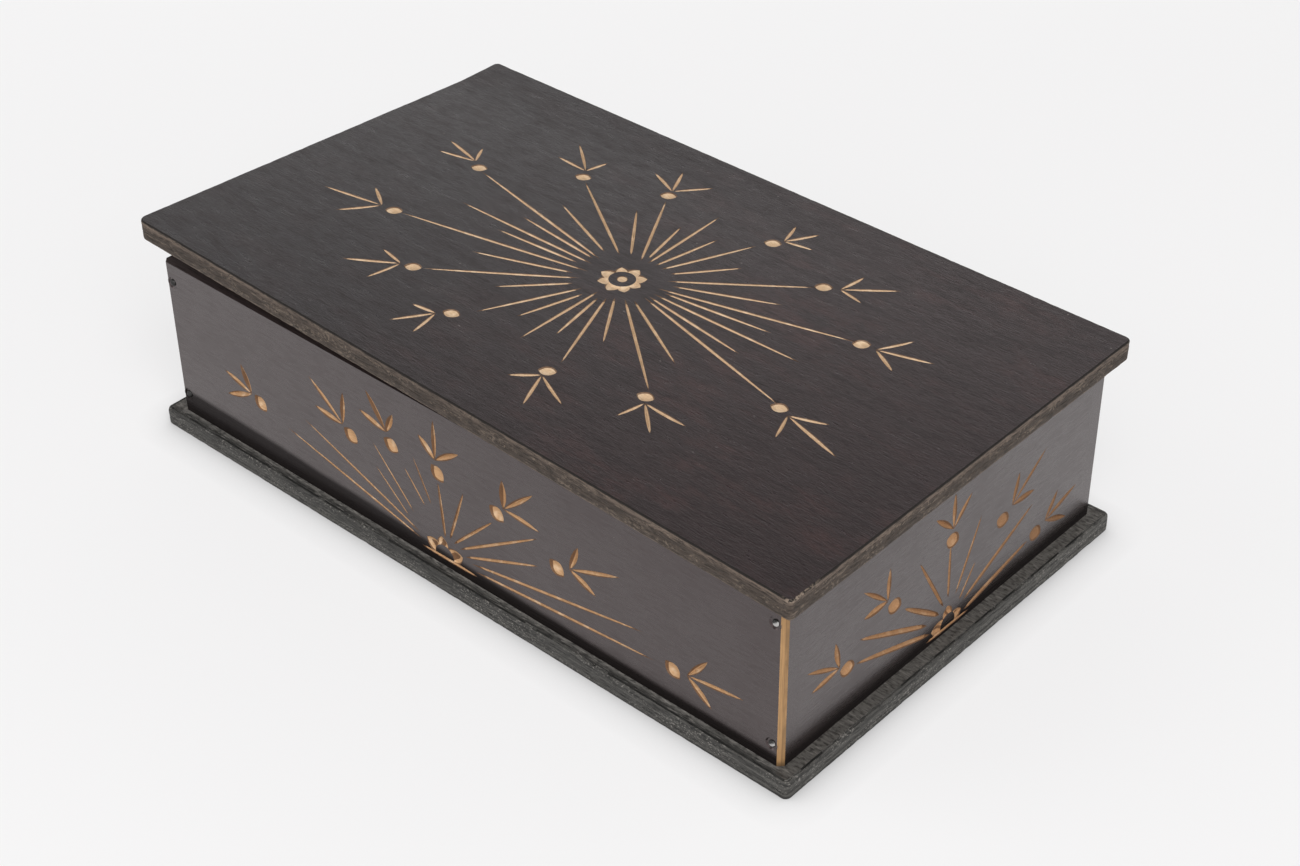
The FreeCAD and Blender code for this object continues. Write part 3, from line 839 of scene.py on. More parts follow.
class Scoop:
    """A hollow of a round gouge, whose ends go from oval to pointed."""

    def __init__(self, finishes, middle, length, width, angle, depth, point, torn=0.0):
        self.finishes = finishes
        self.middle = Vector(middle)
        self.half = length / 2, width / 2
        self.along = Vector((math.cos(angle), math.sin(angle)))
        self.across = Vector((-self.along.y, self.along.x))
        self.deepest = depth
        self.point = point
        # Painted shade: on a wall the clean hollow is moved down and to the right, leaving a wider burr rim
        # on the shaded upper left
        self.shift = SHADED_SIDE * (-0.25 * torn * self.half[1])
        self.reach = max(self.half) * 1.05

    def ring(self, share, count=24):
        """The hollow's outline at a share of its size, anticlockwise."""
        points = []
        for step in range(count):
            turn = 2 * math.pi * step / count
            rise = math.sin(turn) * abs(math.sin(turn)) ** self.point
            along = self.along * (self.half[0] * share * math.cos(turn))
            points.append(self.middle + along + self.across * (self.half[1] * share * rise))
        return points

    def regions(self):
        """The burr rim and the clean hollow inside it, with their finishes; on a wall the clean hollow sits
        towards the lit side, and the wider rim opposite is painted shade.
        """
        inner = [point + self.shift for point in self.ring(0.86 - 0.25 * self.shift.length)]
        return list(zip((self.ring(1.0), inner), self.finishes))

    def lines(self):
        """Rings that carry the hollow's shape."""
        rings = [self.ring(share, 16) for share in (0.3, 0.6)]
        return [ring + ring[:1] for ring in rings]

    def depth(self, point):
        """How deep the hollow is under a point of the face."""
        offset = point - self.middle
        room = max(0.0, 1 - (offset.dot(self.along) / self.half[0]) ** 2)
        reach = self.half[1] * room ** ((1 + self.point) / 2)
        if reach < 1e-6:
            return 0.0
        return self.deepest * room * max(0.0, 1 - (offset.dot(self.across) / reach) ** 2)


class Petal:
    """A pointed petal of a rosette, hollowed from its tip down to a round hub that is left uncut."""

    def __init__(self, hub, hub_radius, turn, reach, depth=0.8, steps=7):
        self.hub = Vector(hub)
        self.hub_radius = hub_radius
        self.along = Vector((math.cos(turn), math.sin(turn)))
        self.across = Vector((-self.along.y, self.along.x))
        self.start = hub_radius * 0.8
        self.length = reach - self.start
        self.half_width = reach * 0.33
        self.deepest = depth
        self.shares = [step / steps for step in range(steps)]
        self.reach = reach * 1.05

    def half(self, share):
        """Half the petal's width at a share of the way from the hub to the tip."""
        return self.half_width * (1 - share ** 3.2)

    def outline(self, width, run):
        """The petal's outline at a share of its width, out to a share of its length, anticlockwise."""
        tip = self.hub + self.along * (self.start + self.length * run)
        sides = []
        for side in (-1, 1):
            points = []
            for share in self.shares:
                out = self.along * (self.start + self.length * share * run)
                points.append(self.hub + out + self.across * (side * width * self.half(share)))
            sides.append(points)
        return [*sides[0], tip, *reversed(sides[1])]

    def lines(self):
        """The bottom of the hollow."""
        places = [self.start + self.length * share for share in (*self.shares[1:], 0.96)]
        return [[self.hub + self.along * place for place in places]]

    def depth(self, point):
        """How deep the hollow is under a point of the face."""
        offset = point - self.hub
        share = (offset.dot(self.along) - self.start) / self.length
        if not 0.0 <= share < 0.999:
            return 0.0
        slope = max(0.0, 1 - abs(offset.dot(self.across)) / self.half(share))
        beside_hub = max(0.0, offset.length - self.hub_radius) * 1.5
        return min(self.deepest * min(1.0, slope * 1.5) * (1 - share ** 3), beside_hub)


class Disc:
    """A round flat of its own finish, at the face's level or punched below it."""

    def __init__(self, finish, middle, radius, bottom_radius=0.0, depth=0.0, count=24):
        self.finish = finish
        self.middle = Vector(middle)
        self.radius = radius
        self.bottom_radius = bottom_radius
        self.deepest = depth
        self.count = count
        self.reach = radius * 1.05

    def ring(self, radius):
        """A circle about the middle."""
        turns = [2 * math.pi * step / self.count for step in range(self.count)]
        return [self.middle + Vector((math.cos(turn), math.sin(turn))) * radius for turn in turns]

    def regions(self):
        """The whole disc, in its finish."""
        return [(self.ring(self.radius), self.finish)]

    def lines(self):
        """The rim of the flat bottom, where there is one."""
        if not self.deepest:
            return []
        ring = self.ring(self.bottom_radius)
        return [ring + ring[:1]]

    def depth(self, point):
        """How deep a point is, on a straight slope from the rim to the bottom."""
        if not self.deepest:
            return 0.0
        slope = (self.radius - (point - self.middle).length) / (self.radius - self.bottom_radius)
        return self.deepest * max(0.0, min(1.0, slope))


class Rosette:
    """Petals cut round a hub that keeps its stain, each with painted shade in the burr finish down its deep
    middle.
    """

    def __init__(self, finishes, stain, burst):
        self.finishes = finishes
        self.core = burst.core
        self.petals = [
            Petal(burst.middle, burst.hub_radius, math.radians(turn), reach) for turn, reach in burst.petals
        ]
        self.hub = Disc(stain, burst.middle, burst.hub_radius)
        self.middle = self.hub.middle
        self.reach = max(petal.reach for petal in self.petals)

    def regions(self):
        """The burr rims of all petals, clean hollows over them, painted shade in the burr finish over their
        middles, and the hub last.
        """
        torn, clean = self.finishes
        layers = [(1.0, 1.0, torn), (0.8, 0.98, clean)]
        # Painted shade: each petal's middle, over a share of its width and out to 70% of its length, in the
        # burr finish
        if self.core:
            layers.append((self.core, 0.7, torn))
        outlines = []
        for width, run, finish in layers:
            outlines += [(petal.outline(width, run), finish) for petal in self.petals]
        return outlines + self.hub.regions()

    def lines(self):
        """The bottoms of the petals."""
        return [line for petal in self.petals for line in petal.lines()]

    def depth(self, point):
        """How deep the deepest petal is under a point of the face."""
        return max(petal.depth(point) for petal in self.petals)


class Field:
    """A flat rectangle of a finish of its own."""

    def __init__(self, finish, half_u, half_v):
        self.finish = finish
        signs = (-1, -1), (1, -1), (1, 1), (-1, 1)
        self.corners = [Vector((half_u * u, half_v * v)) for u, v in signs]
        self.middle = Vector((0.0, 0.0))
        self.reach = 0.0

    def regions(self):
        """The whole field, in its finish."""
        return [(self.corners, self.finish)]

    def lines(self):
        """A flat field has no lines inside it."""
        return []

    def depth(self, point):
        """A flat field stays at the face's level."""
        return 0.0


def sprig(gouge, burst, bud, root, tips, bud_depth, slope):
    """A bud and its leaves: a lens shaped hollow and pointed strokes that fan out from a root beyond it.

    On the walls a short leaf is wider than a long one.
    """
    bud, root = Vector(bud), Vector(root)
    tilt = math.radians(burst.bud_tilt) + 0.2 * math.sin(bud.x * 3.1 + bud.y * 1.7)
    cuts = [Scoop(gouge.finishes, bud, *gouge.bud_size, tilt, bud_depth, burst.bud_point, gouge.torn)]
    fullness = 0.6 + 0.5 * gouge.torn
    torn = gouge.torn * 0.7
    for number, tip in enumerate(tips):
        run = (Vector(tip) - root) * STROKE_OVERRUN
        width = gouge.leaf_width * (0.96 + 0.08 * math.sin(bud.x + number * 2.1))
        width *= 1 - gouge.upright * max(0.0, run.normalized().y) ** 2
        if gouge.torn:
            narrowest, widest = LEAF_SHARES
            width *= max(narrowest, min(widest, (LEAF_LENGTH / run.length) ** 0.8))
        bow = 0.012 * (number - 1)
        end = root + run
        cuts.append(VCut(gouge.finishes, root, end, width, width * slope, 0.5, fullness, bow, torn=torn))
    return cuts


def rectangle_rim(low, high, step):
    """The rim of a rectangle as (point, outward) pairs, anticlockwise; only its ends move outward."""
    left, bottom = low
    right, top = high
    corners = [Vector(c) for c in ((left, bottom), (right, bottom), (right, top), (left, top))]
    return polygon_rim(corners, step, left, right)


def polygon_rim(corners, step, left, right):
    """A polygon's rim as (point, outward) pairs; points on its left and right limits move outward."""
    rim = []
    for start, end in zip(corners, corners[1:] + corners[:1]):
        count = max(1, round((end - start).length / step))
        rim += [start.lerp(end, number / count) for number in range(count)]
    sides = {left: -1.0, right: 1.0}
    return [(point, Vector((sides.get(point.x, 0.0), 0.0))) for point in rim]


def rounded_rim(half_u, half_v, radii, step):
    """The rim of a rectangle with round corners as (point, outward) pairs, from its right front corner."""
    rim = []
    corners = ((1, -1, -90), (1, 1, 0), (-1, 1, 90), (-1, -1, 180))
    sides = (2 * half_v, 2 * half_u) * 2
    next_radii = radii[1:] + radii[:1]
    for (side_u, side_v, turn), side, radius, next_radius in zip(corners, sides, radii, next_radii):
        middle = Vector((side_u * (half_u - radius), side_v * (half_v - radius)))
        for number in range(6):
            angle = math.radians(turn + 90 * number / 5)
            out = Vector((math.cos(angle), math.sin(angle)))
            rim.append((middle + out * radius, out))
        start = rim[-1][0]
        onward = Vector((-out.y, out.x))
        run = side - radius - next_radius
        count = round(run / step)
        rim += [(start + onward * (run * number / count), out) for number in range(1, count)]
    return rim


def face_grid(rim, step):
    """Points inside a rim, on a square grid."""
    us = [point.x for point, _ in rim]
    vs = [point.y for point, _ in rim]
    width, height = max(us) - min(us), max(vs) - min(vs)
    columns, rows = round(width / step), round(height / step)
    return [
        Vector((min(us) + width * column / columns, min(vs) + height * row / rows))
        for column in range(1, columns)
        for row in range(1, rows)
    ]


def inside_rim(point, rim):
    """True if a point is inside a rim, by counting the rim's crossings."""
    inside = False
    for (a, _), (b, _) in zip(rim, rim[1:] + rim[:1]):
        if (a.y > point.y) != (b.y > point.y):
            inside ^= point.x < a.x + (b.x - a.x) * (point.y - a.y) / (b.y - a.y)
    return inside


def carved_face(rim, cuts, finish):
    """A face inside its rim, with every cut: (points, depths, triangles, finishes, rim numbers)."""
    points = [point for point, _ in rim]
    regions = [list(range(len(points)))]
    region_finishes = [finish]
    edges = []
    for cut in cuts:
        for outline, cut_finish_name in cut.regions():
            regions.append(list(range(len(points), len(points) + len(outline))))
            region_finishes.append(cut_finish_name)
            points += outline
        for line in cut.lines():
            first = len(points)
            points += line
            edges += [(number, number + 1) for number in range(first, len(points) - 1)]
    points += [point for point in face_grid(rim, FACE_STEP) if inside_rim(point, rim)]
    made = delaunay_2d_cdt(points, edges, regions, 1, SAME_POINT)
    places, triangles, origins, owners = made[0], made[2], made[3], made[5]
    depths = []
    for place in places:
        near = [cut for cut in cuts if (place - cut.middle).length <= cut.reach]
        depths.append(max((cut.depth(place) for cut in near), default=0.0))
    numbers = {origin: number for number, group in enumerate(origins) for origin in group}
    finishes = [region_finishes[max(group)] for group in owners]
    return places, depths, triangles, finishes, [numbers[number] for number in range(len(rim))]


class Board:
    """A board being built: a carved face, steps round its edge and a back."""

    def __init__(self, name, place, thickness):
        self.name = name
        self.place = place
        self.thickness = thickness
        self.points = []
        self.faces = []
        self.finishes = []

    def face(self, rim, cuts, finish):
        """The carved face. Gives the numbers of its rim points."""
        places, depths, triangles, finishes, loop = carved_face(rim, cuts, finish)
        self.points += [self.place(p.x, p.y, depth) for p, depth in zip(places, depths)]
        self.faces += triangles
        self.finishes += finishes
        return loop

    def steps(self, rim, loop, steps, finish_of, wear):
        """Rings of faces from a face's rim out and down, one for each (out, drop). Gives the last ring."""
        for number, (out, drop) in enumerate(steps):
            first = len(self.points)
            for point, outward in rim:
                at = point + outward * (out + wear(point, drop))
                self.points.append(self.place(at.x, at.y, drop))
            ring = list(range(first, len(self.points)))
            for here in range(len(rim)):
                ahead = (here + 1) % len(rim)
                self.faces.append((loop[here], ring[here], ring[ahead], loop[ahead]))
                self.finishes.append(finish_of(number, rim[here], rim[ahead]))
            loop = ring
        return loop

    def back(self, rim, out, loop, cuts, finish):
        """The back, inside the last ring."""
        spread = [(point + outward * out, outward) for point, outward in rim]
        places, depths, triangles, finishes, back_loop = carved_face(spread, cuts, finish)
        shared = dict(zip(back_loop, loop))
        numbers = []
        for number, (p, depth) in enumerate(zip(places, depths)):
            if number in shared:
                numbers.append(shared[number])
            else:
                numbers.append(len(self.points))
                self.points.append(self.place(p.x, p.y, self.thickness - depth))
        self.faces += [tuple(numbers[corner] for corner in reversed(triangle)) for triangle in triangles]
        self.finishes += finishes

    def build(self, materials):
        """The board as a mesh object, with a material slot for each finish that it uses."""
        used = [name for name in materials if name in self.finishes]
        mesh = bpy.data.meshes.new(self.name)
        mesh.from_pydata(self.points, [], self.faces)
        for name in used:
            mesh.materials.append(materials[name])
        mesh.polygons.foreach_set("material_index", [used.index(name) for name in self.finishes])
        mesh.polygons.foreach_set("use_smooth", [True] * len(self.faces))
        mesh.set_sharp_from_angle(angle=SMOOTH_ANGLE)
        self.sharpen_borders(mesh)
        if mesh.validate():
            raise RuntimeError(f"{self.name} has faces that don't hold together")
        board = bpy.data.objects.new(self.name, mesh)
        bpy.context.scene.collection.objects.link(board)
        return board

    def sharpen_borders(self, mesh):
        """Keep the edges between two finishes crisp."""
        finishes = {}
        for polygon in mesh.polygons:
            for key in polygon.edge_keys:
                finishes.setdefault(key, set()).add(polygon.material_index)
        for edge in mesh.edges:
            edge.use_edge_sharp |= len(finishes[edge.key]) > 1


def box_mm(node):
    """A node's lowest and highest corners, in millimetres."""
    low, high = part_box(node)
    return low / MM, high / MM


def no_wear(point, drop):
    """An edge that is as true as it was sawn."""
    return 0.0


def rubbed(point, drop):
    """How far a rubbed and knocked edge has gone back at a point, in millimetres."""
    place = Vector((point.x, point.y, drop * 3))
    long_waves = noise.noise(place * 0.05)
    knocks = noise.noise(place * 0.3 + Vector((7, 3, 1)))
    splinters = noise.noise(place * 0.9 + Vector((2, 8, 5)))
    return -0.06 - 0.05 * long_waves - 0.25 * max(0.0, knocks - 0.12) - 0.12 * max(0.0, splinters)


def settle(board, node, body):
    """A finished board takes the place of its CAD node."""
    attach(board, body)
    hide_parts(node)


def quarter_round(radius, count=3):
    """(out, drop) steps round an edge of a radius."""
    turns = [math.pi / 2 * number / count for number in range(1, count + 1)]
    return [(radius * math.sin(turn), radius * (1 - math.cos(turn))) for turn in turns]


def sunburst_cuts(carving, burst, gouge):
    """The cuts of a sunburst: its rays and sprigs, and petals round a hub that keeps its stain."""
    slope = carving.cut_slope
    torn = gouge.torn * 0.6
    overrun = STROKE_OVERRUN if gouge.torn else LID_RAY_OVERRUN
    cuts = []
    for start, end, *share in burst.rays:
        width = gouge.ray_width * (share[0] if share else 1.0)
        end = Vector(start).lerp(Vector(end), overrun)
        cuts.append(VCut(gouge.finishes, start, end, width, width * slope, 0.4, 0.42, steps=14, torn=torn))
    for bud, root, tips in burst.sprigs:
        cuts += sprig(gouge, burst, bud, root, tips, carving.bud_depth / MM, slope)
    return cuts + [Rosette(gouge.finishes, gouge.stain, burst)]


def lid_cuts(carving):
    """The carving of the lid: a full sunburst, with a round hollow in the middle of its hub."""
    finishes = "lid_burr", "lid_cut"
    bud_size = carving.lid_bud_length / MM, carving.lid_bud_width / MM
    ray_width, leaf_width = carving.lid_ray_width / MM, carving.lid_leaf_width / MM
    gouge = Gouge(finishes, "lid_stain", ray_width, bud_size, leaf_width, torn=0.0, upright=0.0)
    width = HUB_HOLLOW_WIDTH
    hollow = Scoop(finishes, LID_ROSETTE, width, width, angle=0.0, depth=HUB_HOLLOW_DEPTH, point=0.0)
    return sunburst_cuts(carving, LID_SUNBURST, gouge) + [hollow]


def wall_cuts(carving, burst, ray_width, upright):
    """The carving of a wall: half a sunburst that stands on a straight cut."""
    finishes = "wall_burr_and_shade", "wall_cut"
    bud_size = carving.wall_bud_length / MM, carving.wall_bud_width / MM
    leaf_width = carving.wall_leaf_width / MM
    gouge = Gouge(finishes, "stain", ray_width / MM, bud_size, leaf_width, carving.shade_share, upright)
    depth = BASELINE_WIDTH * carving.cut_slope
    base_cut = VCut(finishes, *burst.baseline, BASELINE_WIDTH, depth, belly=0.5, fullness=0.4, steps=12)
    return sunburst_cuts(carving, burst, gouge) + [base_cut]


def nail_dents(stain, side):
    """The dents of a long wall's corner nails, in that wall's own millimetres."""
    dents = []
    for end in ("left", "right"):
        low, high = box_mm(f"{side}_{end}_corner_nails")
        radius = (high.x - low.x) / 2
        u = (low.x + high.x) / 2
        for v in (low.z + radius, high.z - radius):
            rim = NAIL_DENT_RADIUS + NAIL_DENT_DEPTH
            dents.append(Disc(stain, (u, v), rim, NAIL_DENT_RADIUS, NAIL_DENT_DEPTH))
    return dents


class KEEPSAKE_OT_lid(bpy.types.Operator):
    """Carve the lid board: a twisted panel with rubbed edges and a full sunburst"""

    bl_idname = "keepsake.lid"
    bl_label = "Carved lid"

    def execute(self, context):
        finishes = context.scene.keepsake_finishes
        carving = context.scene.keepsake_carving
        low, high = box_mm("lid_panel")
        top = low.z + LID_THICKNESS
        fold = high.y - LID_FLAT_STRIP

        def place(u, v, drop):
            across = max(0.0, min(1.0, (fold - v) / (fold - low.y)))
            lift = LID_CORNER_LIFT * across * (high.x - u) / (high.x - low.x)
            return Vector((u, v, top + lift - max(drop, LID_FACE_WEAR))) * MM

        edge = LID_EDGE_ROUND
        radii = [LID_CORNER_RADIUS + knocked - edge for knocked in LID_CORNER_KNOCKS]
        rim = rounded_rim(high.x - edge, high.y - edge, radii, RIM_STEP)
        upper = quarter_round(edge)
        lower = [(out, LID_THICKNESS - drop) for out, drop in reversed(upper)]
        layers = [(edge + out, drop) for out, drop in LID_EDGE_LAYERS]
        board = Board("lid_panel_carved", place, LID_THICKNESS)
        loop = board.face(rim, lid_cuts(carving), "lid_stain")
        steps = upper + layers + lower + [(0.0, LID_THICKNESS)]
        loop = board.steps(rim, loop, steps, lambda *_: "lid_edge", rubbed)
        board.back(rim, 0.0, loop, [], "lid_under")
        materials = {
            "lid_stain": lid_stain_finish(finishes),
            "lid_cut": cut_finish(finishes, "lid_cut", finishes.lid_cut, 0.5),
            "lid_burr": cut_finish(finishes, "lid_burr", finishes.lid_burr, 0.1),
            "lid_edge": edge_finish(finishes),
            "lid_under": dull_stain_finish(finishes, "lid_under", along_x),
        }
        settle(board.build(materials), "lid_panel", "lid")
        return {"FINISHED"}


class KEEPSAKE_OT_long_walls(bpy.types.Operator):
    """Make the long walls: the front one carved, the back one plain and notched for the hinges"""

    bl_idname = "keepsake.long_walls"
    bl_label = "Long walls"

    def execute(self, context):
        finishes = context.scene.keepsake_finishes
        materials = {
            "stain": wall_stain_finish(finishes, "long_wall_stain", along_x, 3.2, 4.8, 0.12),
            "dull": dull_stain_finish(finishes, "long_wall_dull", along_x),
            "wall_cut": cut_finish(finishes, "front_cut", finishes.wall_cut, 0.4),
            "wall_burr_and_shade": cut_finish(finishes, "front_burr_and_shade", finishes.wall_burr_and_shade, 0.05),
            "strip": strip_finish(finishes),
            "inside": inside_finish(finishes, "long_wall_inside", along_x),
        }
        self.wall("front", 1, self.front_corners(), context.scene.keepsake_carving, materials)
        self.wall("back", -1, self.back_corners(), None, materials)
        return {"FINISHED"}

    def front_corners(self):
        """The flat of the front wall's face, inside its chamfers."""
        low, high = box_mm("front_wall")
        left, right = low.x + CORNER_CHAMFER, high.x - CORNER_CHAMFER
        return [Vector(c) for c in ((left, low.z), (right, low.z), (right, high.z), (left, high.z))]

    def back_corners(self):
        """The flat of the back wall's face, seen from behind, with the hinge notches in its top."""
        low, high = box_mm("back_wall")
        left, right = low.x + CORNER_CHAMFER, high.x - CORNER_CHAMFER
        corners = [(left, low.z), (right, low.z), (right, high.z)]
        for hinge in ("left", "right"):
            leaf_low, leaf_high = box_mm(f"{hinge}_hinge_case_leaf")
            pin_low, pin_high = box_mm(f"{hinge}_hinge_pin")
            start = -pin_low.x + HINGE_NOTCH_CLEARANCE
            end = -pin_high.x - HINGE_NOTCH_CLEARANCE
            corners += [(start, high.z), (start, leaf_low.z), (end, leaf_low.z), (end, high.z)]
        return [Vector(c) for c in corners + [(left, high.z)]]

    def wall(self, side, facing, corners, carving, materials):
        """One long wall. Facing is 1 for the front, whose face looks along -Y, and -1 for the back."""
        low, high = box_mm(f"{side}_wall")
        thickness = high.y - low.y
        outer = low.y if facing > 0 else high.y

        def place(u, v, drop):
            return Vector((u * facing, outer + drop * facing, v)) * MM

        def finish_of(number, here, ahead):
            if not (here[1].x and ahead[1].x):
                return "dull"
            return "strip" if number == 0 else "stain"

        cuts = nail_dents("stain", side)
        if carving:
            cuts += wall_cuts(carving, FRONT_SUNBURST, carving.front_ray_width, 0.0)
        rim = polygon_rim(corners, FACE_STEP, corners[0].x, corners[1].x)
        board = Board(f"{side}_wall_board", place, thickness)
        loop = board.face(rim, cuts, "stain")
        steps = [(CORNER_CHAMFER, CORNER_CHAMFER), (CORNER_CHAMFER, thickness)]
        loop = board.steps(rim, loop, steps, finish_of, no_wear)
        board.back(rim, CORNER_CHAMFER, loop, [], "inside")
        settle(board.build(materials), f"{side}_wall", "case")


class KEEPSAKE_OT_end_walls(bpy.types.Operator):
    """Make the two end walls, carved alike"""

    bl_idname = "keepsake.end_walls"
    bl_label = "End walls"

    def execute(self, context):
        finishes = context.scene.keepsake_finishes
        carving = context.scene.keepsake_carving
        materials = {
            "stain": wall_stain_finish(finishes, "end_wall_stain", along_y, 3.0, 0.0, 0.13),
            "dull": dull_stain_finish(finishes, "end_wall_dull", along_y),
            "wall_cut": cut_finish(finishes, "end_cut", finishes.end_cut, 0.15, 0.7),
            "wall_burr_and_shade": cut_finish(finishes, "end_burr_and_shade", finishes.wall_burr_and_shade, 0.0),
            "inside": inside_finish(finishes, "end_wall_inside", along_y),
        }
        for side, facing in (("right", 1), ("left", -1)):
            self.wall(side, facing, carving, materials)
        return {"FINISHED"}

    def wall(self, side, facing, carving, materials):
        """One end wall. Facing is 1 for the right end, whose face looks along +X, and -1 for the left."""
        low, high = box_mm(f"{side}_end_wall")
        thickness = high.x - low.x
        outer = high.x if facing > 0 else low.x

        def place(u, v, drop):
            return Vector((outer - drop * facing, u * facing, v)) * MM

        rim = rectangle_rim((low.y, low.z), (high.y, high.z), FACE_STEP)
        board = Board(f"{side}_end_wall_board", place, thickness)
        loop = board.face(rim, wall_cuts(carving, END_SUNBURST, carving.end_ray_width, 0.2), "stain")
        loop = board.steps(rim, loop, [(0.0, thickness)], lambda *_: "dull", no_wear)
        board.back(rim, 0.0, loop, [], "inside")
        settle(board.build(materials), f"{side}_end_wall", "case")


class KEEPSAKE_OT_base(bpy.types.Operator):
    """Make the base board: a worn ledge round the walls, layered edges and nail pockets below"""

    bl_idname = "keepsake.base"
    bl_label = "Base board"

    def execute(self, context):
        finishes = context.scene.keepsake_finishes
        low, high = box_mm("base_board")
        wall_low, wall_high = box_mm("front_wall")
        thickness = high.z - low.z

        def place(u, v, drop):
            return Vector((u, v, high.z - drop)) * MM

        top, bottom = BASE_TOP_ROUND, BASE_BOTTOM_ROUND
        rim = rounded_rim(high.x - top, high.y - top, [BASE_CORNER_RADIUS - top] * 4, RIM_STEP)
        inner = [(top - bottom + out, thickness - drop) for out, drop in reversed(quarter_round(bottom))]
        groove = [(0.2, 0.3), (0.5, 0.34), (0.72, 0.1)]
        shoulder = [(0.95, 0.18), (1.22, 0.5), (top, 1.2)]
        sides = [(top, 2.6), (top, 3.5), (top - 0.12, 3.75), (top, 4.0), (top, 4.7)]

        # Painted shade: the groove's inner wall and bottom take the dark finish, with gaps where the noise is
        # high, more of them at the ends
        def finish_of(number, here, ahead):
            gap = noise.noise(here[0].to_3d() * 0.11) > (0.0 if abs(here[1].x) > 0.5 else 0.3)
            return "base_line" if number < len(groove) - 1 and not gap else "base_edge"

        inside = Field("inside", wall_high.x - WALL_MIDDLE, -wall_low.y - WALL_MIDDLE)
        board = Board("base_board_worn", place, thickness)
        loop = board.face(rim, [inside], "base_stain")
        steps = groove + shoulder + sides + inner + [(top - bottom, thickness)]
        loop = board.steps(rim, loop, steps, finish_of, rubbed)
        board.back(rim, top - bottom, loop, self.pockets(), "base_stain")
        materials = {
            "base_stain": base_finish(finishes),
            "base_line": base_groove_shade_finish(finishes),
            "base_edge": base_edge_finish(finishes),
            "inside": inside_finish(finishes, "base_inside", along_x),
        }
        settle(board.build(materials), "base_board", "case")
        return {"FINISHED"}

    def pockets(self):
        """The pockets of the nail heads in the underside, under the middle of each wall."""
        end_low, end_high = box_mm("right_end_wall")
        side_low, side_high = box_mm("back_wall")
        along = (end_low.x + end_high.x) / 2
        across = (side_low.y + side_high.y) / 2
        first = side_high.x - BASE_NAIL_END_INSET
        places = [(u, v) for u in (-first, 0.0, first) for v in (-across, across)]
        places += [(-along, 0.0), (along, 0.0)]
        head = box_mm("base_nails")[1].x - along
        rim = head + BASE_NAIL_FIT
        return [Disc("base_stain", place, rim, head, BASE_NAIL_POCKET) for place in places]


class KEEPSAKE_OT_nails(bpy.types.Operator):
    """Finish the nails in bright steel"""

    bl_idname = "keepsake.nails"
    bl_label = "Nails"

    def execute(self, context):
        steel = nail_finish(context.scene.keepsake_finishes)
        for name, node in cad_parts.items():
            if name.endswith("_nails"):
                node.material_slots[0].material = steel
        return {"FINISHED"}


class KEEPSAKE_OT_hinges(bpy.types.Operator):
    """Finish the hinges and their screws in dull brass"""

    bl_idname = "keepsake.hinges"
    bl_label = "Hinges"

    def execute(self, context):
        colour = context.scene.keepsake_finishes.brass
        brass = metal_finish("hinge_brass", colour, 0.6, 0.34)
        screw_brass = metal_finish("screw_brass", darker(colour, 0.92), 0.4, 0.28)
        for name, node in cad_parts.items():
            if "_hinge_" in name:
                node.material_slots[0].material = screw_brass if name.endswith("_screws") else brass
        return {"FINISHED"}


def floor_material(settings):
    """A pale floor that the camera and reflections see lifted to white, with painted light brightening it
    towards the back, and that keeps the box's shadow.
    """
    colour = tuple(settings.floor_colour)
    finish = Finish("pale_floor", base_color=colour, roughness=0.9, specular_ior_level=0.1)
    path = finish.add("ShaderNodeLightPath", {}, {}, "Is Camera Ray")
    seen = finish.clamp(path + path.other("Is Glossy Ray") + path.other("Is Transmission Ray"))
    open_air = finish.add("ShaderNodeAmbientOcclusion", {}, {"Distance": CONTACT_REACH * MM}, "AO")
    x, y, _ = finish.split(finish.place)
    # Painted light: the white lift grows by up to 9% towards the far back left
    far = finish.rise(y - x, 0.25, 0.9)
    sockets = {"Color": FLOOR_SEEN, "Strength": open_air * (far * 0.09 + 1)}
    white = finish.add("ShaderNodeEmission", {}, sockets)
    finish.covered(seen * settings.floor_white, white)
    return finish.material


def studio_sky(settings):
    """A white backdrop for the camera, and a sky that is bright at the horizon and dimmer at its far left."""
    world = bpy.data.worlds.new("studio_sky")
    world.use_nodes = True
    bpy.context.scene.world = world
    sky = Tree(world.node_tree)
    x, _, height = sky.split(sky.add("ShaderNodeTexCoord", {}, {}, "Generated"))
    fade = sky.rise(height, 0.47, 0.66)
    middle = sky.rise(x, -0.72, -0.56) - sky.rise(x, -0.5, -0.36) * 0.4
    strength = (settings.sky_low + fade * (settings.sky_high - settings.sky_low)) * (0.88 + middle * 0.26)
    path = sky.add("ShaderNodeLightPath", {}, {}, "Is Camera Ray")
    background = world.node_tree.nodes["Background"]
    sky.feed(background.inputs["Color"], (1.0, 1.0, 1.0))
    sky.feed(background.inputs["Strength"], strength + path * (BACKDROP_SEEN - strength))


def soft_light(name, place, size, power):
    """A square soft box that looks at the box's middle."""
    lamp = bpy.data.lights.new(name, "AREA")
    lamp.size = size
    lamp.energy = power
    light = bpy.data.objects.new(name, lamp)
    light.location = place
    light.rotation_mode = "QUATERNION"
    light.rotation_quaternion = (LIT_POINT - place).to_track_quat("-Z", "Y")
    bpy.context.scene.collection.objects.link(light)


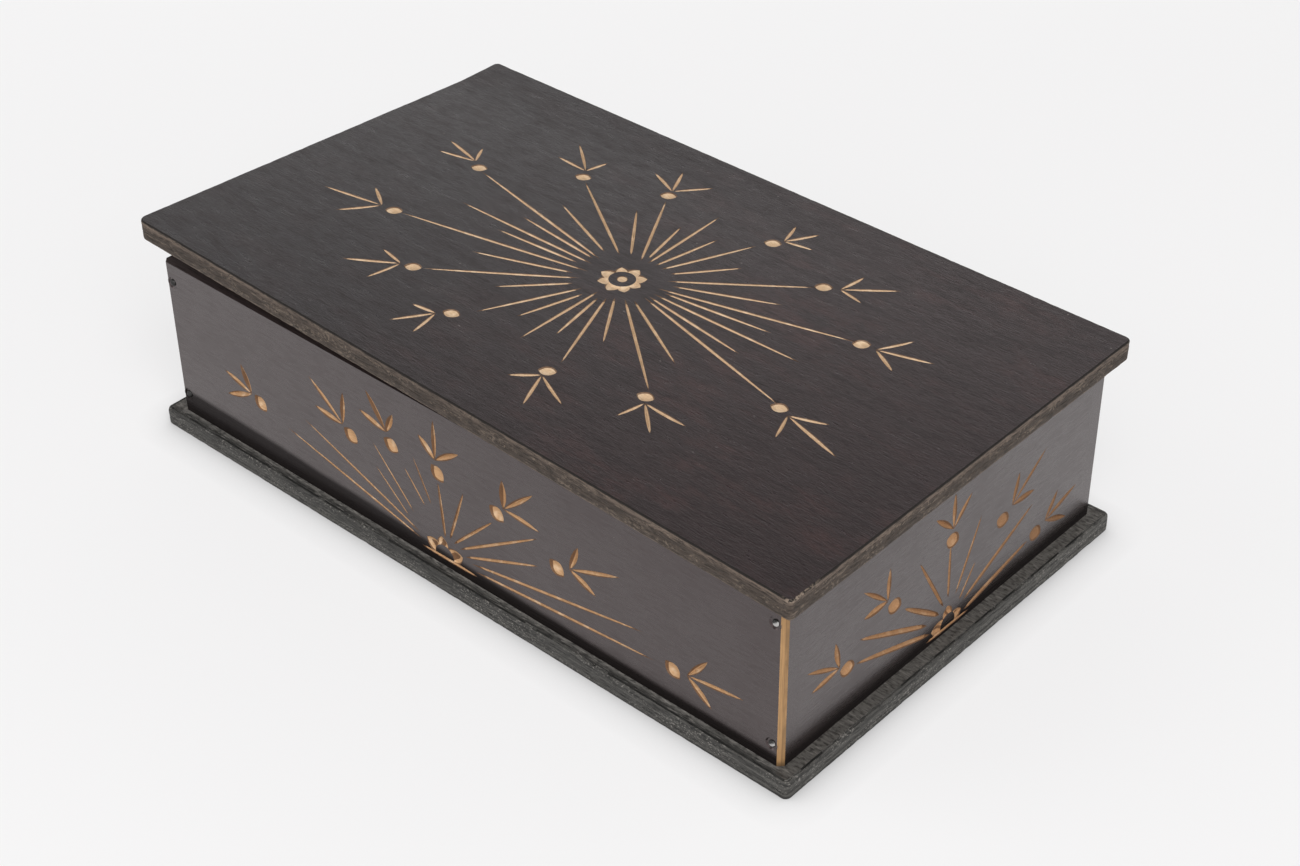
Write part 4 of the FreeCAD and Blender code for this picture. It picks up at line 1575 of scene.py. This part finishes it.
class KEEPSAKE_OT_stage(bpy.types.Operator):
    """Set the floor, the light and the camera"""

    bl_idname = "keepsake.stage"
    bl_label = "Stage"

    def execute(self, context):
        settings = context.scene.keepsake_stage
        self.floor(settings)
        studio_sky(settings)
        soft_light("key_light", KEY_PLACE, KEY_SIZE, settings.key_power)
        soft_light("fill_light", FILL_PLACE, FILL_SIZE, settings.fill_power)
        self.camera(settings)
        context.scene.view_settings.view_transform = "Standard"
        return {"FINISHED"}

    def floor(self, settings):
        """A wide floor under the box, open under the base board, where it would hide the underside."""
        low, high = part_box("base_board")
        rim = FLOOR_RIM * MM
        corners = []
        for left, front, right, back in (
            (-FLOOR_REACH, -FLOOR_REACH, FLOOR_REACH, FLOOR_REACH),
            (low.x + rim, low.y + rim, high.x - rim, high.y - rim),
        ):
            around = (left, front), (right, front), (right, back), (left, back)
            corners += [(x, y, -FLOOR_GAP * MM) for x, y in around]
        sides = [(side, (side + 1) % 4, (side + 1) % 4 + 4, side + 4) for side in range(4)]
        mesh = bpy.data.meshes.new("floor")
        mesh.from_pydata(corners, [], sides)
        mesh.materials.append(floor_material(settings))
        floor = bpy.data.objects.new("floor", mesh)
        bpy.context.scene.collection.objects.link(floor)

    def camera(self, settings):
        """The photograph's camera."""
        lens = bpy.data.cameras.new("photo_camera")
        lens.sensor_width = SENSOR_WIDTH
        lens.lens = settings.focal_pixels / PHOTO_WIDTH * SENSOR_WIDTH
        lens.clip_start = CLIP_START * MM
        turn, height = settings.camera_azimuth, settings.camera_elevation
        back = Vector((
            math.sin(turn) * math.cos(height), -math.cos(turn) * math.cos(height), math.sin(height)
        ))
        right = Vector((0.0, 0.0, 1.0)).cross(back).normalized()
        rotation = Matrix((right, back.cross(right), back)).transposed()
        rotation = rotation @ Matrix.Rotation(settings.camera_roll, 3, "Z")
        camera = bpy.data.objects.new("photo_camera", lens)
        camera.matrix_world = Matrix.Translation(settings.camera_place) @ rotation.to_4x4()
        bpy.context.scene.collection.objects.link(camera)
        bpy.context.scene.camera = camera


class KEEPSAKE_PT_box(bpy.types.Panel):
    """The pieces of the box, in the order that they are made"""

    bl_idname = "KEEPSAKE_PT_box"
    bl_label = "Keepsake box"
    bl_space_type = "VIEW_3D"
    bl_region_type = "UI"
    bl_category = "Keepsake box"

    def draw(self, context):
        for operator in OPERATORS:
            self.layout.operator(operator.bl_idname)


SETTINGS = {
    "keepsake_carving": CarvingSettings,
    "keepsake_finishes": FinishSettings,
    "keepsake_stage": StageSettings,
}
OPERATORS = (
    KEEPSAKE_OT_lid,
    KEEPSAKE_OT_long_walls,
    KEEPSAKE_OT_end_walls,
    KEEPSAKE_OT_base,
    KEEPSAKE_OT_nails,
    KEEPSAKE_OT_hinges,
    KEEPSAKE_OT_stage,
)
CLASSES = (*SETTINGS.values(), *OPERATORS, KEEPSAKE_PT_box)


def register():
    """Add the classes, and the settings to the scene."""
    for item in CLASSES:
        bpy.utils.register_class(item)
    for name, group in SETTINGS.items():
        setattr(bpy.types.Scene, name, PointerProperty(type=group))


def unregister():
    """Take the settings and the classes away again."""
    for name in SETTINGS:
        delattr(bpy.types.Scene, name)
    for item in reversed(CLASSES):
        bpy.utils.unregister_class(item)


def main():
    """Make every piece and the stage."""
    register()
    for operator in OPERATORS:
        group, action = operator.bl_idname.split(".")
        getattr(getattr(bpy.ops, group), action)()


if __name__ == "__main__":
    main()
